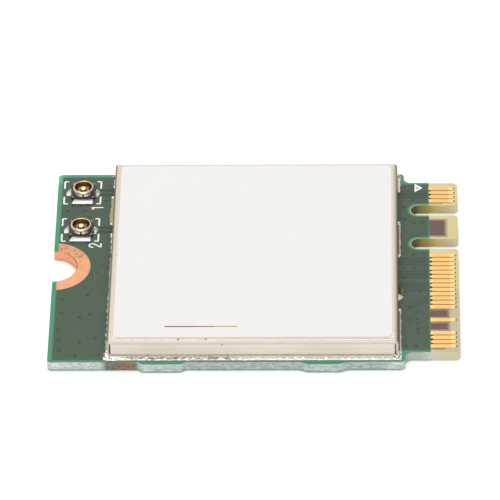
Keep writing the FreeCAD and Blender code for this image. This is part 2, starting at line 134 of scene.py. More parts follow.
def share_in_box(
    tree: Tree, place: Socket, low: Place, high: Place, softness: float, strength: float
) -> Socket:
    """Give a value that is the strength in a box and fades to 0 across its soft edge.

    The distance from the box is the largest of |place - middle| - half size over the axes.

    Args:
        tree: Node tree of the material.
        place: Socket with the place on the object in metres.
        low: Lowest corner of the box.
        high: Highest corner of the box.
        softness: Width of the soft edge to each side.
        strength: Value well inside the box.

    Returns:
        Socket with the value.
    """
    middle = (np.array(low) + np.array(high)) / 2.0 * MILLIMETRE
    half = (np.array(high) - np.array(low)) / 2.0 * MILLIMETRE
    vector = "ShaderNodeVectorMath"
    offset = add_node(tree, vector, SUBTRACT, {0: place, 1: middle.tolist()}).outputs["Vector"]
    length = add_node(tree, vector, ABSOLUTE, {0: offset}).outputs["Vector"]
    beyond = add_node(tree, vector, SUBTRACT, {0: length, 1: half.tolist()}).outputs["Vector"]
    axes = add_node(tree, "ShaderNodeSeparateXYZ", inputs={0: beyond}).outputs
    flat = add_node(tree, "ShaderNodeMath", MAXIMUM, {0: axes[0], 1: axes[1]}).outputs[0]
    farthest = add_node(tree, "ShaderNodeMath", MAXIMUM, {0: flat, 1: axes[2]}).outputs[0]
    return add_node(tree, "ShaderNodeMapRange", SMOOTH, {
        "Value": farthest,
        "From Min": softness * MILLIMETRE,
        "From Max": -softness * MILLIMETRE,
        "To Min": 0.0,
        "To Max": strength,
    }).outputs["Result"]


class Facing(Enum):
    """Which faces a mark shows on."""

    ANY = "any"
    LEVEL = "level"
    UPRIGHT = "upright"


@dataclass(frozen=True)
class Spot:
    """What the nodes know of a point of the surface: its place and how far it faces each way."""

    place: Socket
    shown: dict[Facing, Socket]

    def facing_share(self, tree: Tree, share: Socket, facing: Facing) -> Socket:
        """Lower a share by how far the surface turns away from a facing.

        Args:
            tree: Node tree of the material.
            share: Socket with the share on a surface that faces the right way.
            facing: Which faces the share is for.

        Returns:
            Socket with the lowered share.
        """
        if facing is Facing.ANY:
            return share
        shown = self.shown[facing]
        return add_node(tree, "ShaderNodeMath", MULTIPLY, {0: share, 1: shown}).outputs[0]


@dataclass(frozen=True)
class Patch:
    """Soft-edged box of colour in the card's frame."""

    low: Place
    high: Place
    colour: str
    softness: float = 0.08
    strength: float = 1.0
    facing: Facing = Facing.ANY
    metallic: float | None = None

    def share(self, tree: Tree, spot: Spot) -> Socket:
        """Give the patch's share of the colour: its box, times how far the face turns its way."""
        inside = share_in_box(tree, spot.place, self.low, self.high, self.softness, self.strength)
        return spot.facing_share(tree, inside, self.facing)


@dataclass(frozen=True)
class Layer:
    """Colour laid on where a named value of the mesh is high."""

    value: str
    colour: str
    strength: float = 1.0
    metallic: float | None = None

    def share(self, tree: Tree, _: Spot) -> Socket:
        """Give the layer's share of the colour: the mesh's value times the strength."""
        value = add_node(tree, "ShaderNodeAttribute", {"attribute_name": self.value}).outputs["Fac"]
        return add_node(tree, "ShaderNodeMath", MULTIPLY, {0: value, 1: self.strength}).outputs[0]


@dataclass(frozen=True)
class Specks:
    """Scattered spots of another colour, where a noise passes a threshold."""

    colour: str
    grain: float
    threshold: float
    strength: float = 0.8
    low: Place = (-20.0, -20.0, -5.0)
    high: Place = (20.0, 20.0, 5.0)
    stretch: Place = (1.0, 1.0, 1.0)
    edge: float = 0.03
    facing: Facing = Facing.ANY
    metallic: float | None = None

    def share(self, tree: Tree, spot: Spot) -> Socket:
        """Give the specks' share of the colour: the noise past its threshold, in their box.

        Args:
            tree: Node tree of the material.
            spot: Place and facing of the surface.

        Returns:
            Socket with the share.
        """
        drawn = add_node(tree, "ShaderNodeMapping", inputs={
            "Vector": spot.place, "Scale": self.stretch,
        }).outputs["Vector"]
        noise = add_node(tree, "ShaderNodeTexNoise", inputs=noise_inputs(drawn, self.grain))
        passed = add_node(tree, "ShaderNodeMapRange", SMOOTH, {
            "Value": noise.outputs[0],
            "From Min": self.threshold - self.edge,
            "From Max": self.threshold + self.edge,
            "To Min": 0.0,
            "To Max": 1.0,
        }).outputs["Result"]
        inside = share_in_box(tree, spot.place, self.low, self.high, self.grain, self.strength)
        share = add_node(tree, "ShaderNodeMath", MULTIPLY, {0: passed, 1: inside}).outputs[0]
        return spot.facing_share(tree, share, self.facing)


@dataclass(frozen=True)
class Finish:
    """Surface of one material: two close colours in a grain, uneven gloss and a fine relief.

    The marks are laid over the grain in their order.
    """

    name: str
    colour: str
    second_colour: str
    grain: float
    roughness: float
    roughness_spread: float = 0.08
    metallic: float = 0.0
    relief: float = 0.002
    relief_grain: float = 0.08
    stretch: Place = (1.0, 1.0, 1.0)
    side_colour: str | None = None
    side_metallic: float | None = None
    marks: tuple[Patch | Layer | Specks, ...] = ()

    def material(self) -> bpy.types.Material:
        """Build the node material, or hand out the one already built.

        Returns:
            The material of this finish.
        """
        made = bpy.data.materials.get(self.name)
        if made is not None:
            return made
        made = bpy.data.materials.new(self.name)
        made.use_nodes = True
        tree = made.node_tree
        tree.nodes.clear()
        place = add_node(tree, "ShaderNodeTexCoord").outputs["Object"]
        stretched = add_node(tree, "ShaderNodeMapping", inputs={
            "Vector": place, "Scale": self.stretch,
        }).outputs["Vector"]
        grain, fine_grain, relief = (
            add_node(tree, "ShaderNodeTexNoise", inputs=noise_inputs(stretched, size)).outputs[0]
            for size in (self.grain, self.grain / 2.0, self.relief_grain)
        )
        colour, metallic = self._colour_and_metal(tree, place, grain)
        gloss = add_node(tree, "ShaderNodeMapRange", inputs={
            "Value": fine_grain,
            "From Min": 0.3,
            "From Max": 0.7,
            "To Min": self.roughness - self.roughness_spread,
            "To Max": self.roughness + self.roughness_spread,
        }).outputs["Result"]
        bump = add_node(tree, "ShaderNodeBump", inputs={
            "Strength": 1.0, "Distance": self.relief * MILLIMETRE, "Height": relief,
        }).outputs["Normal"]
        shader = add_node(tree, "ShaderNodeBsdfPrincipled", inputs={
            "Base Color": colour, "Metallic": metallic, "Roughness": gloss, "Normal": bump,
        }).outputs["BSDF"]
        add_node(tree, "ShaderNodeOutputMaterial", inputs={"Surface": shader})
        return made

    def _colour_and_metal(
        self, tree: Tree, place: Socket, grain: Socket
    ) -> tuple[Socket, Socket | float]:
        """Mix the two colours by the grain and lay the side's colour and the marks over them.

        Args:
            tree: Node tree of the material.
            place: Socket with the place on the object in metres.
            grain: Socket with the grain's noise.

        Returns:
            Socket with the colour, and socket or number for how far the surface is bare metal.
        """
        spot = Spot(place, self._facings(tree))
        upright = spot.shown[Facing.UPRIGHT]
        coats = [(grain, self.second_colour, None)]
        if self.side_colour:
            coats.append((upright, self.side_colour, None))
        coats += [(mark.share(tree, spot), mark.colour, mark.metallic) for mark in self.marks]
        metallic = self.metallic
        if self.side_metallic is not None:
            metallic = add_node(tree, "ShaderNodeMapRange", inputs={
                "Value": upright, "To Min": self.metallic, "To Max": self.side_metallic,
            }).outputs["Result"]
        colour = linear(self.colour)
        for share, coat_colour, coat_metallic in coats:
            colour = add_node(tree, "ShaderNodeMix", COLOURS, {
                0: share, 6: colour, 7: linear(coat_colour),
            }).outputs[2]
            if coat_metallic is not None:
                metallic = add_node(tree, "ShaderNodeMapRange", inputs={
                    "Value": share, "To Min": metallic, "To Max": coat_metallic,
                }).outputs["Result"]
        return colour, metallic

    @staticmethod
    def _facings(tree: Tree) -> dict[Facing, Socket]:
        """Give how far a face lies level and how far it stands upright.

        Args:
            tree: Node tree of the material.

        Returns:
            Sockets with the two shares.
        """
        normal = add_node(tree, "ShaderNodeNewGeometry").outputs["Normal"]
        upward = add_node(tree, "ShaderNodeSeparateXYZ", inputs={0: normal}).outputs["Z"]
        level = add_node(tree, "ShaderNodeMath", ABSOLUTE, {0: upward}).outputs[0]
        upright = add_node(tree, "ShaderNodeMath", SUBTRACT, {0: 1.0, 1: level}).outputs[0]
        return {Facing.LEVEL: level, Facing.UPRIGHT: upright}


def wall_patch(x: Point, y: Point, colour: str, softness: float, strength: float) -> Patch:
    """Colour the board's upright walls between limits along X and Y, at any height."""
    return Patch((x[0], y[0], -2.0), (x[1], y[1], 3.0), colour, softness, strength, Facing.UPRIGHT)


class Finishes(Enum):
    """Every finish on the card, named for what the surface is."""

    # Glass fibre in epoxy: pale yellow and satin on its faces, where inner copper shows through as
    # brown fields, and grey white where the routed edge lays the fibres open.
    LAMINATE = Finish(
        "glass_fibre_epoxy_board", "#e2d9ae", "#d6cb99", 0.7, 0.5, relief=0.003, relief_grain=0.14,
        side_colour="#cdd4d1",
        marks=(
            # Fibres in the cut edge, as pale and dark streaks.
            *(
                Specks(
                    colour, grain, threshold, strength, (-16.0, -12.0, 0.06), (12.6, 12.0, 0.77),
                    stretch=(0.35, 0.35, 1.0),
                )
                for colour, grain, threshold, strength in (
                    ("#f4f6f5", 0.16, 0.52, 0.7), ("#a9b2ae", 0.13, 0.55, 0.5),
                )
            ),
            # Walls of the tongue, yellow, with the key slots' shade painted towards their ends.
            wall_patch((12.9, 17.0), (-13.0, 13.0), "#ddd5b2", 1.0, 1.0),
            wall_patch((9.0, 14.0), (0.9, 8.4), "#dcc87e", 0.8, 1.0),
            wall_patch((9.0, 13.0), (0.9, 8.4), "#a7974d", 0.6, 0.95),
            wall_patch((9.0, 12.05), (0.9, 8.4), "#474c22", 0.4, 0.95),
            wall_patch((10.6, 12.4), (-10.6, -9.2), "#b4bcb6", 0.5, 0.9),
            # Wall of the tooling hole, with painted shade and one pale stripe of painted highlight.
            wall_patch((8.9, 11.2), (-4.3, -2.0), "#a39d5c", 0.1, 1.0),
            wall_patch((10.4, 10.68), (-2.7, -2.0), "#6f6f3a", 0.08, 0.7),
            wall_patch((10.74, 10.93), (-4.0, -2.0), "#f2f0cc", 0.05, 1.0),
            wall_patch((11.0, 11.2), (-4.0, -2.4), "#3f4f2c", 0.03, 0.8),
            # Long edges: grey green, paler on the panel stubs, stained brown near the left end.
            wall_patch((-7.6, 9.6), (-13.0, -10.8), "#98aba3", 0.4, 0.75),
            wall_patch((-9.0, 7.0), (-13.0, -11.12), "#cfdddb", 0.06, 0.6),
            wall_patch((-9.0, 7.0), (11.12, 13.0), "#cfdddb", 0.06, 0.5),
            wall_patch((-10.9, -8.4), (-13.0, -10.8), "#6c6d5e", 0.3, 0.95),
            wall_patch((-9.9, -8.7), (-13.0, -10.8), "#a87660", 0.25, 0.9),
            Patch((-16.0, -13.0, -1.0), (10.6, 13.0, 0.08), "#5f8070", 0.05, 0.9, Facing.UPRIGHT),
            # Face of the tongue, and the inner copper that shows through it.
            Patch((14.3, -10.0, 0.4), (17.0, 10.0, 1.2), "#d9cc8c", 0.35, 0.9, Facing.LEVEL),
            Patch((13.0, -12.0, -1.0), (17.0, -2.6, 3.0), "#c6b999", 0.9, 0.9, Facing.LEVEL),
            *(
                Patch((12.0, low, 0.3), (end, high, 1.3), "#6b4d47", 0.24, 1.0, Facing.LEVEL)
                for low, high, end in (
                    (3.5, 5.55, 14.13), (-6.0, -5.0, 14.22), (-7.45, -6.5, 14.22),
                )
            ),
            # Brown bands just below the last contact of two rows.
            Patch((12.6, -9.6, 0.7), (13.9, -9.3, 0.9), "#7c5c50", 0.12, 0.8, Facing.LEVEL),
            Patch((12.6, 7.4, 0.7), (13.9, 7.6, 0.9), "#8a6c55", 0.12, 0.7, Facing.LEVEL),
            # Gaps between the contacts: a painted orange reflection of the gold beside them, dark
            # at the mask.
            *(
                Patch((12.8, low, 0.7), (end, high, 0.9), colour, softness, strength, Facing.LEVEL)
                for end, colour, softness, strength in (
                    (14.6, "#b5743a", 0.05, 0.95), (13.03, "#17110f", 0.04, 1.0),
                )
                for low, high in ((7.5, 9.2), (-4.8, 1.3), (-9.2, -7.8))
            ),
            # Streaks over the near edge's own colours.
            *(
                Specks(
                    colour, grain, 0.53, strength, (start, -12.0, 0.06), (end, -9.8, 0.77),
                    stretch=(stretch, 1.0, 1.0),
                )
                for colour, grain, strength, start, end, stretch in (
                    ("#e9f2f0", 0.22, 0.35, -8.3, 9.6, 0.4),
                    ("#72857c", 0.19, 0.31, -8.3, 9.6, 0.5),
                    ("#4a4a3b", 0.15, 0.5, -10.7, -8.5, 0.6),
                )
            ),
        ),
    )
    # Green photo-cured lacquer on bare board: bright and clear, with a satin gloss, lighter where
    # light comes in through the cut edge, and dark over the copper of the underside.
    MASK = Finish(
        "green_solder_mask", "#3f9a76", "#368a68", 0.9, 0.36, relief=0.002, relief_grain=0.12,
        marks=(
            Patch((-15.2, 10.0, 0.5), (-14.7, 11.4, 0.9), "#58cfa2", 0.45, 0.9),
            Patch((-15.2, -11.4, 0.5), (11.2, -10.7, 0.9), "#2c9064", 0.1, 0.8),
            Patch((-14.7, -10.7, -0.1), (10.7, 10.7, 0.05), "#37563f", 0.05, 1.0),
            Patch((10.5, -9.62, -0.1), (12.83, 9.62, 0.05), "#37563f", 0.05, 1.0),
        ),
    )
    # The same lacquer over copper: dark grey green with a brown cast of the metal below.
    MASKED_COPPER = Finish(
        "green_solder_mask_over_copper", "#32533b", "#404f36", 1.5, 0.36, relief=0.001,
        relief_grain=0.2,
        marks=(
            Specks("#564f3c", 0.6, 0.6, 0.3),
            Specks("#31594c", 0.9, 0.6, 0.35),
            Layer("bare", "#1d3531", 0.95),
            Layer("rim", "#37896a", 0.8),
            Layer("via", "#1e1f15", 0.95),
        ),
    )
    # Hard gold over nickel on the contacts: light yellow orange, with faint drag lines along X.
    CONTACT_GOLD = Finish(
        "hard_gold_plate", "#f4cd8a", "#ecbd6d", 0.3, 0.34, metallic=1.0, relief=0.0006,
        stretch=(0.15, 1.0, 1.0),
        marks=(
            Patch((14.32, -10.0, 0.7), (14.7, 10.0, 0.9), "#ffdc98", 0.04, 0.8),
            Patch((12.8, -10.0, 0.7), (13.1, 10.0, 0.9), "#ffd992", 0.1, 0.5),
        ),
    )
    # Thin gold on the drawn bronze of the jacks: glossier than the contacts. Its layers paint light
    # on the ring by the direction from its axis: a highlight on the bead, a pale reflection on the
    # front of the foot, shade with some tarnish inside, on the flanks and in the groove, and dark
    # shade in the hollow.
    JACK_GOLD = Finish(
        "gold_plated_bronze", "#fde6b8", "#f2d092", 0.3, 0.36, 0.05, metallic=1.0, relief=0.0001,
        relief_grain=0.1,
        marks=(
            Layer("sheen", "#fffdf6", 0.95),
            Layer("pale", "#fffaf0", 0.95, 0.3),
            Layer("tarnish", "#8a5827", 0.85),
            Layer("depth", "#1c120a", 0.7),
        ),
    )
    # Bare copper with a clear coat against tarnish, stained brown by handling.
    COPPER = Finish(
        "coated_bare_copper", "#e9ae87", "#de9c74", 0.5, 0.4, metallic=1.0, relief=0.003,
        relief_grain=0.1,
        marks=(
            Patch((-14.7, 1.2, 0.5), (-12.8, 2.5, 1.0), "#cb9b7b", 0.5, 0.5, Facing.LEVEL),
            Specks(
                "#94775f", 0.3, 0.55, 0.65, (-14.8, 0.9, 0.0), (-12.7, 2.5, 1.0), edge=0.07,
                facing=Facing.LEVEL,
            ),
            Specks("#b98058", 0.35, 0.62, 0.4, (-16.0, -0.6, -1.0), (-12.0, 3.0, 1.0)),
        ),
    )
    # Rolled nickel silver sheet: warm grey white and satin, with rolling lines along Y and a few
    # brown specks. Its patches paint light and shade: a lighter near wall with a line of shade
    # below its bend, shade on the bends and on the margins at the label's ends, and a lighter
    # margin in front of the label. One patch is a small brown mark near the top of the near wall.
    NICKEL_SILVER = Finish(
        "rolled_nickel_silver", "#dfd5c7", "#d8cdbd", 0.6, 0.42, metallic=1.0, relief=0.0008,
        relief_grain=0.12, stretch=(1.0, 0.2, 1.0), side_metallic=0.12,
        marks=(
            Specks("#8a6238", 0.45, 0.735, 0.8),
            # Painted light and shade on the near wall, its bend and the margins beside the label.
            Patch((-10.9, -11.0, 0.0), (10.8, -10.0, 3.0), "#faeddf", 0.1, 1.0, Facing.UPRIGHT),
            Patch((-10.9, -11.0, 1.78), (10.8, -10.0, 1.9), "#ebdfd0", 0.06, 0.8, Facing.UPRIGHT),
            Patch((-10.9, -11.0, 0.0), (10.8, -10.0, 1.25), "#fff8ec", 0.25, 0.9, Facing.UPRIGHT),
            Patch((-11.0, -10.17, 1.85), (11.0, -9.93, 3.0), "#c4bbaf", 0.05, 1.0),
            Patch((-11.0, -10.4, 1.84), (11.0, -10.12, 2.05), "#b5ac9f", 0.04, 0.35),
            Patch((-10.9, -9.93, 1.9), (10.8, -9.2, 2.4), "#e7ddd0", 0.04, 1.0, Facing.LEVEL),
            Patch((10.19, -10.3, 1.6), (10.9, 10.8, 2.4), "#bdb1a0", 0.1, 0.9, Facing.LEVEL),
            Patch((10.4, -10.3, 1.85), (10.9, 10.8, 2.4), "#978c7d", 0.05, 0.6),
            Patch((-10.9, -10.0, 1.6), (-10.25, 10.8, 2.4), "#d0c5b5", 0.1, 0.9, Facing.LEVEL),
            # A small brown mark near the top of the near wall.
            Patch((-2.37, -11.0, 1.73), (-2.21, -9.0, 1.81), "#8a5f35", 0.03, 0.9),
            # Painted shade along the left and the right bend.
            Patch((-12.0, -10.0, 1.85), (-10.57, 10.8, 3.0), "#8d7b66", 0.05, 0.9),
            Patch((10.42, -10.0, 1.85), (12.0, 10.8, 3.0), "#8a7964", 0.05, 0.9),
        ),
    )
    # Lead-free solder: nearly white, dull and lumpy, with brown flux in its hollows. Its patches
    # make some stretches greyer, and paint shade as a dark line along the can's right foot, with a
    # grey bar beside it.
    SOLDER = Finish(
        "lead_free_solder", "#f4f2ee", "#e0ddd7", 0.3, 0.42, metallic=1.0, relief=0.004,
        relief_grain=0.14,
        marks=(
            Specks("#b3b3ad", 0.22, 0.53, 0.75, (-9.0, -10.9, 0.7), (-1.0, -10.3, 1.2)),
            Specks("#bfc1bf", 0.5, 0.52, 0.6, (-1.0, -10.9, 0.7), (11.0, -10.3, 1.2)),
            Specks(
                "#554339", 0.2, 0.495, 0.95, (-9.3, -10.73, 0.7), (-1.2, -10.55, 1.2),
                stretch=(0.55, 1.0, 1.0),
            ),
            Patch((-1.5, -10.9, 0.0), (9.9, -10.2, 2.0), "#dcdedb", 0.2, 0.6),
            Patch((-15.5, 2.5, 0.0), (-11.6, 10.5, 2.0), "#d2cdca", 0.05, 1.0),
            Layer("flux", "#a89d68", 0.9),
            Patch((-11.5, -9.7, 0.7), (-10.5, 1.6, 1.2), "#8f998f", 0.1, 0.8),
            # Painted shade along the foot of the can's right wall, and a grey bar beside it.
            *(
                Patch((low_x, low_y, 0.7), (high_x, high_y, 1.3), colour, 0.04, strength)
                for low_y, high_y in ((1.3, 4.8), (-9.9, -5.35))
                for low_x, high_x, colour, strength in (
                    (10.4, 10.63, "#4c4d42", 0.85), (10.63, 11.0, "#a9a79d", 0.7),
                )
            ),
        ),
    )
    # Flux residue over a thin run of solder: pale olive yellow.
    FLUX = Finish("flux_residue", "#bdb98b", "#a9a674", 0.3, 0.5, relief=0.006, relief_grain=0.1)
    # Film that fills the can's corner slits behind their outer face: dark brown with a dull gloss,
    # olive in the right ones.
    SLIT_FILL = Finish(
        "slit_fill_film", "#4a2f22", "#5e4030", 0.2, 0.4,
        marks=(Patch((5.0, -12.0, 0.0), (12.0, 12.0, 3.0), "#857b50", 0.1, 0.9),),
    )
    # White polyester label with a matt print coat, and one thin printed line on it that fades from
    # dark brown to tan.
    LABEL = Finish(
        "white_polyester_label", "#f4f3f1", "#f1f0ee", 2.5, 0.62, relief=0.002, relief_grain=0.3,
        marks=(
            *(
                Patch((-6.47, -8.71, 2.0), (end, -8.61, 2.4), colour, 0.02)
                for end, colour in ((-1.22, "#aa8f67"), (-2.9, "#885838"), (-4.3, "#6a4128"))
            ),
        ),
    )
    # White epoxy ink, screen printed on the mask.
    SILK_INK = Finish(
        "white_screen_ink", "#ffffff", "#f3f5f2", 0.2, 0.55, relief=0.004, relief_grain=0.06
    )
    # Glass-filled plastic of the jacks' bases: blue black with a dull sheen, and with a brown
    # reflection of the gold round it painted inside the rings.
    JACK_PLASTIC = Finish(
        "moulded_jack_plastic", "#2c2b36", "#3b3a48", 0.3, 0.42, relief=0.003,
        marks=(
            *(
                Patch((-13.45, low, 0.98), (-12.71, high, 1.2), "#b99870", 0.1, 0.9)
                for low, high in ((8.33, 9.29), (3.85, 4.81))
            ),
        ),
    )
    # Posts at the corners of the jacks' bases: the same plastic, paler as a painted highlight.
    HIGHLIT_JACK_PLASTIC = Finish("jack_plastic_painted_highlight", "#8b8f9c", "#6d7180", 0.12, 0.45)
    # Cut edge of the mask along the key slots, where bare fibre shows as a pale line.
    PALE_RIM = Finish("cut_mask_rim", "#c3cfa5", "#aebf93", 0.3, 0.5)
    # Dried spots of flux on the can: light brown.
    CAN_STAIN = Finish("dried_flux_spot", "#a67c4a", "#8a6236", 0.1, 0.5)
    # Fine scratches in the mask: the lacquer turned grey white where it is scored.
    SCRATCHED_MASK = Finish("scored_solder_mask", "#93a698", "#7d9183", 0.1, 0.55)
    # Ends of the plating lines beyond the contacts, etched back to dark brown copper.
    ETCHED_COPPER = Finish("etched_plating_line", "#6e4c33", "#4f3626", 0.12, 0.55)
    # Moulded epoxy of the chips: near black, matt, faintly grained.
    CHIP_RESIN = Finish(
        "moulded_chip_resin", "#26262a", "#303036", 0.2, 0.6, relief=0.004, relief_grain=0.05
    )
    # Fired white ceramic of the crystal's base and the filters.
    WHITE_CERAMIC = Finish("fired_white_ceramic", "#cbc6bd", "#bcb6ab", 0.4, 0.5)
    # Fired tan ceramic of the capacitors.
    TAN_CERAMIC = Finish("fired_tan_ceramic", "#ac8f70", "#9c7f5f", 0.3, 0.45)
    # Pressed ferrite of the inductor: dark grey and slightly rough.
    FERRITE = Finish(
        "pressed_ferrite", "#46464a", "#38383c", 0.2, 0.6, relief=0.005, relief_grain=0.06
    )


FINISH_NODES: dict[Finishes, tuple[str, ...]] = {
    Finishes.LAMINATE: ("circuit_board",),
    Finishes.MASK: ("solder_mask_top", "solder_mask_bottom"),
    Finishes.CONTACT_GOLD: ("edge_contacts_top", "edge_contacts_bottom"),
    Finishes.COPPER: ("mounting_land",),
    Finishes.NICKEL_SILVER: ("shield_can", "crystal_lid"),
    Finishes.LABEL: ("label",),
    Finishes.JACK_GOLD: (
        "antenna_jack_1_shell", "antenna_jack_1_contact",
        "antenna_jack_2_shell", "antenna_jack_2_contact",
    ),
    Finishes.JACK_PLASTIC: ("antenna_jack_1_insulator", "antenna_jack_2_insulator"),
    Finishes.SOLDER: (
        "shield_solder", "antenna_jack_solder", "radio_chip_leads", "front_end_leads",
        "capacitor_terminals", "resistor_terminals", "antenna_filter_terminals",
        "power_inductor_terminals",
    ),
    Finishes.CHIP_RESIN: ("radio_chip", "front_end_module_1", "front_end_module_2", "resistors"),
    Finishes.WHITE_CERAMIC: ("crystal_base", "antenna_filters"),
    Finishes.TAN_CERAMIC: ("capacitors",),
    Finishes.FERRITE: ("power_inductor",),
}


@dataclass
class Surface:
    """Closed mesh: points in millimetres, faces by point number and named values of the points."""

    points: Array
    faces: list[Array]
    values: dict[str, Array] = field(default_factory=dict)

    def outward(self) -> Surface:
        """Turn every face round if they point inwards, so that the enclosed volume is positive.

        Each face is a fan of triangles from its first corner, and each triangle adds a sixth of the
        triple product of its corners to the volume.

        Returns:
            This surface.
        """
        volume = 0.0
        for faces in self.faces:
            first = self.points[faces[:, :1]]
            ahead = self.points[faces[:, 1:-1]]
            behind = self.points[faces[:, 2:]]
            volume += float(np.sum(np.cross(ahead, behind) * first))
        if volume < 0.0:
            self.faces = [faces[:, ::-1] for faces in self.faces]
        return self


def joined(surfaces: Sequence[Surface]) -> Surface:
    """Put several surfaces into one.

    Args:
        surfaces: Surfaces to join. A value that one of them lacks is 0 on its points.

    Returns:
        One surface with all their points and faces.
    """
    starts = np.cumsum([0] + [len(one.points) for one in surfaces[:-1]])
    faces = [part + start for one, start in zip(surfaces, starts) for part in one.faces]
    values = {
        name: np.concatenate([one.values.get(name, np.zeros(len(one.points))) for one in surfaces])
        for name in sorted({name for one in surfaces for name in one.values})
    }
    return Surface(np.concatenate([one.points for one in surfaces]), faces, values)


def grid_faces(
    rows: int, columns: int, wrap_rows: bool = False, wrap_columns: bool = False
) -> Array:
    """Number the quads of a grid: each joins a point to the next row and the next column.

    Args:
        rows: Number of rows of points.
        columns: Number of points in a row.
        wrap_rows: Whether the last row joins the first.
        wrap_columns: Whether the last column joins the first.

    Returns:
        Four point numbers for each quad.
    """
    row, column = np.meshgrid(
        np.arange(rows if wrap_rows else rows - 1),
        np.arange(columns if wrap_columns else columns - 1),
        indexing="ij",
    )
    next_row = (row + 1) % rows
    next_column = (column + 1) % columns
    quads = (
        row * columns + column,
        next_row * columns + column,
        next_row * columns + next_column,
        row * columns + next_column,
    )
    return np.stack(quads, axis=-1).reshape(-1, 4)


def loft(loops: Array, ring: bool = False) -> Surface:
    """Skin closed loops of points one after another.

    Args:
        loops: Points by loop, place in the loop and axis.
        ring: Whether the last loop joins the first. Otherwise both ends are capped.

    Returns:
        The closed surface.
    """
    count, around, _ = loops.shape
    faces = [grid_faces(count, around, ring, True)]
    if not ring:
        cap = np.arange(around)[None, :]
        faces += [cap, cap[:, ::-1] + (count - 1) * around]
    return Surface(loops.reshape(-1, 3), faces).outward()


def slab(top: Array, low: float, values: dict[str, Array]) -> Surface:
    """Close a sheet of points with a flat underside and a wall round its rim.

    Args:
        top: Points by row, column and axis.
        low: Height of the underside.
        values: Named values of the top's points, by row and column.

    Returns:
        The closed plate.
    """
    rows, columns, _ = top.shape
    count = rows * columns
    below = top.copy()
    below[..., 2] = low
    number = np.arange(count).reshape(rows, columns)
    rim = np.concatenate([number[0, :-1], number[:-1, -1], number[-1, :0:-1], number[:0:-1, 0]])
    after = np.roll(rim, -1)
    wall = np.stack([rim, after, after + count, rim + count], axis=1)
    sheet = grid_faces(rows, columns)
    points = np.concatenate([top.reshape(-1, 3), below.reshape(-1, 3)])
    spread = {name: np.tile(value.reshape(-1), 2) for name, value in values.items()}
    return Surface(points, [sheet, sheet[:, ::-1] + count, wall], spread).outward()


def ring_points(
    centre: Point, radius_x: Array | float, radius_y: Array | float, angle: Array,
    height: Array | None = None,
) -> Array:
    """Give points round a centre: x = radius cos(angle) and y = radius sin(angle) from it.

    Args:
        centre: Middle of the round.
        radius_x: Radius along X.
        radius_y: Radius along Y.
        angle: Angle from +X.
        height: Height of the points, for points in space.

    Returns:
        The points, with their axes last.
    """
    axes = [centre[0] + radius_x * np.cos(angle), centre[1] + radius_y * np.sin(angle)]
    if height is not None:
        axes.append(np.broadcast_to(height, axes[0].shape))
    return np.stack(axes, axis=-1)


def turned(
    section: Array, centre: Point, relief: Callable[[Array], Array], steps: int = 144
) -> Surface:
    """Carry a closed section round an upright axis.

    Args:
        section: Points of the section as radius and height.
        centre: Where the axis stands.
        relief: Change of the section's radii, by angle.
        steps: Number of steps in the turn.

    Returns:
        The closed ring.
    """
    angle = np.linspace(0.0, FULL_TURN, steps, endpoint=False)[:, None]
    radius = section[None, :, 0] + relief(angle)
    return loft(ring_points(centre, radius, radius, angle, section[None, :, 1]), ring=True)


def rounded_path(
    points: Sequence[Point], radius: float, closed: bool = False, steps: int = 6
) -> Array:
    """Round the corners of a path of straight lines.

    A corner is a parabola between two points on its lines, each the radius or a little under half
    of the line away from it: (1-t)^2 start + 2t(1-t) corner + t^2 end.

    Args:
        points: Corners of the path.
        radius: Distance from a corner at which its curve starts.
        closed: Whether the path runs back to its first point.
        steps: Points on each curve.

    Returns:
        Points of the rounded path.
    """
    corner = np.array(points, float)
    to_last = np.roll(corner, 1, axis=0) - corner
    to_next = np.roll(corner, -1, axis=0) - corner

    def cut(line: Array) -> Array:
        """Go from each corner along its line to where the curve meets it."""
        length = np.linalg.norm(line, axis=1, keepdims=True)
        return corner + line / length * np.minimum(radius, 0.45 * length)

    t = np.linspace(0.0, 1.0, steps)[None, :, None]
    before, after = cut(to_last)[:, None], cut(to_next)[:, None]
    curve = (1 - t) ** 2 * before + 2 * t * (1 - t) * corner[:, None] + t**2 * after
    if closed:
        return curve.reshape(-1, 2)
    return np.concatenate([corner[:1], curve[1:-1].reshape(-1, 2), corner[-1:]])


def ribbon(path: Array, width: float, low: float, high: float) -> Surface:
    """Carry a flat strip with eased top edges along a path.

    Args:
        path: Points of the middle line.
        width: Width of the strip.
        low: Height of its underside.
        high: Height of its top.

    Returns:
        The closed strip.
    """
    along = np.gradient(path, axis=0)
    along /= np.linalg.norm(along, axis=1, keepdims=True)
    across = np.stack([-along[:, 1], along[:, 0]], axis=1)
    ease = 0.3 * (high - low)
    half = width / 2.0
    section = np.array([
        (-half, low), (half, low), (half, high - ease),
        (half - ease, high), (ease - half, high), (-half, high - ease),
    ])
    flat = path[:, None, :] + across[:, None, :] * section[None, :, :1]
    height = np.broadcast_to(section[None, :, 1:], (*flat.shape[:2], 1))
    return loft(np.concatenate([flat, height], axis=-1))


def plate(outline: Array, low: float, high: float, ease: float) -> Surface:
    """Raise an outline to a plate whose top edge is eased in two steps.

    Each loop is the outline drawn in towards its middle by a share of the ease, and lifted.

    Args:
        outline: Closed path of points.
        low: Height of the underside.
        high: Height of the top.
        ease: How far the top lies inside the outline.

    Returns:
        The closed plate.
    """
    middle = outline.mean(axis=0)
    reach = outline - middle
    length = np.linalg.norm(reach, axis=1, keepdims=True)
    loops = [
        np.column_stack([middle + reach * (1.0 - inset / length), np.full(len(outline), height)])
        for inset, height in (
            (0.0, low), (0.0, high - ease), (0.3 * ease, high - 0.3 * ease), (ease, high),
        )
    ]
    return loft(np.stack(loops))


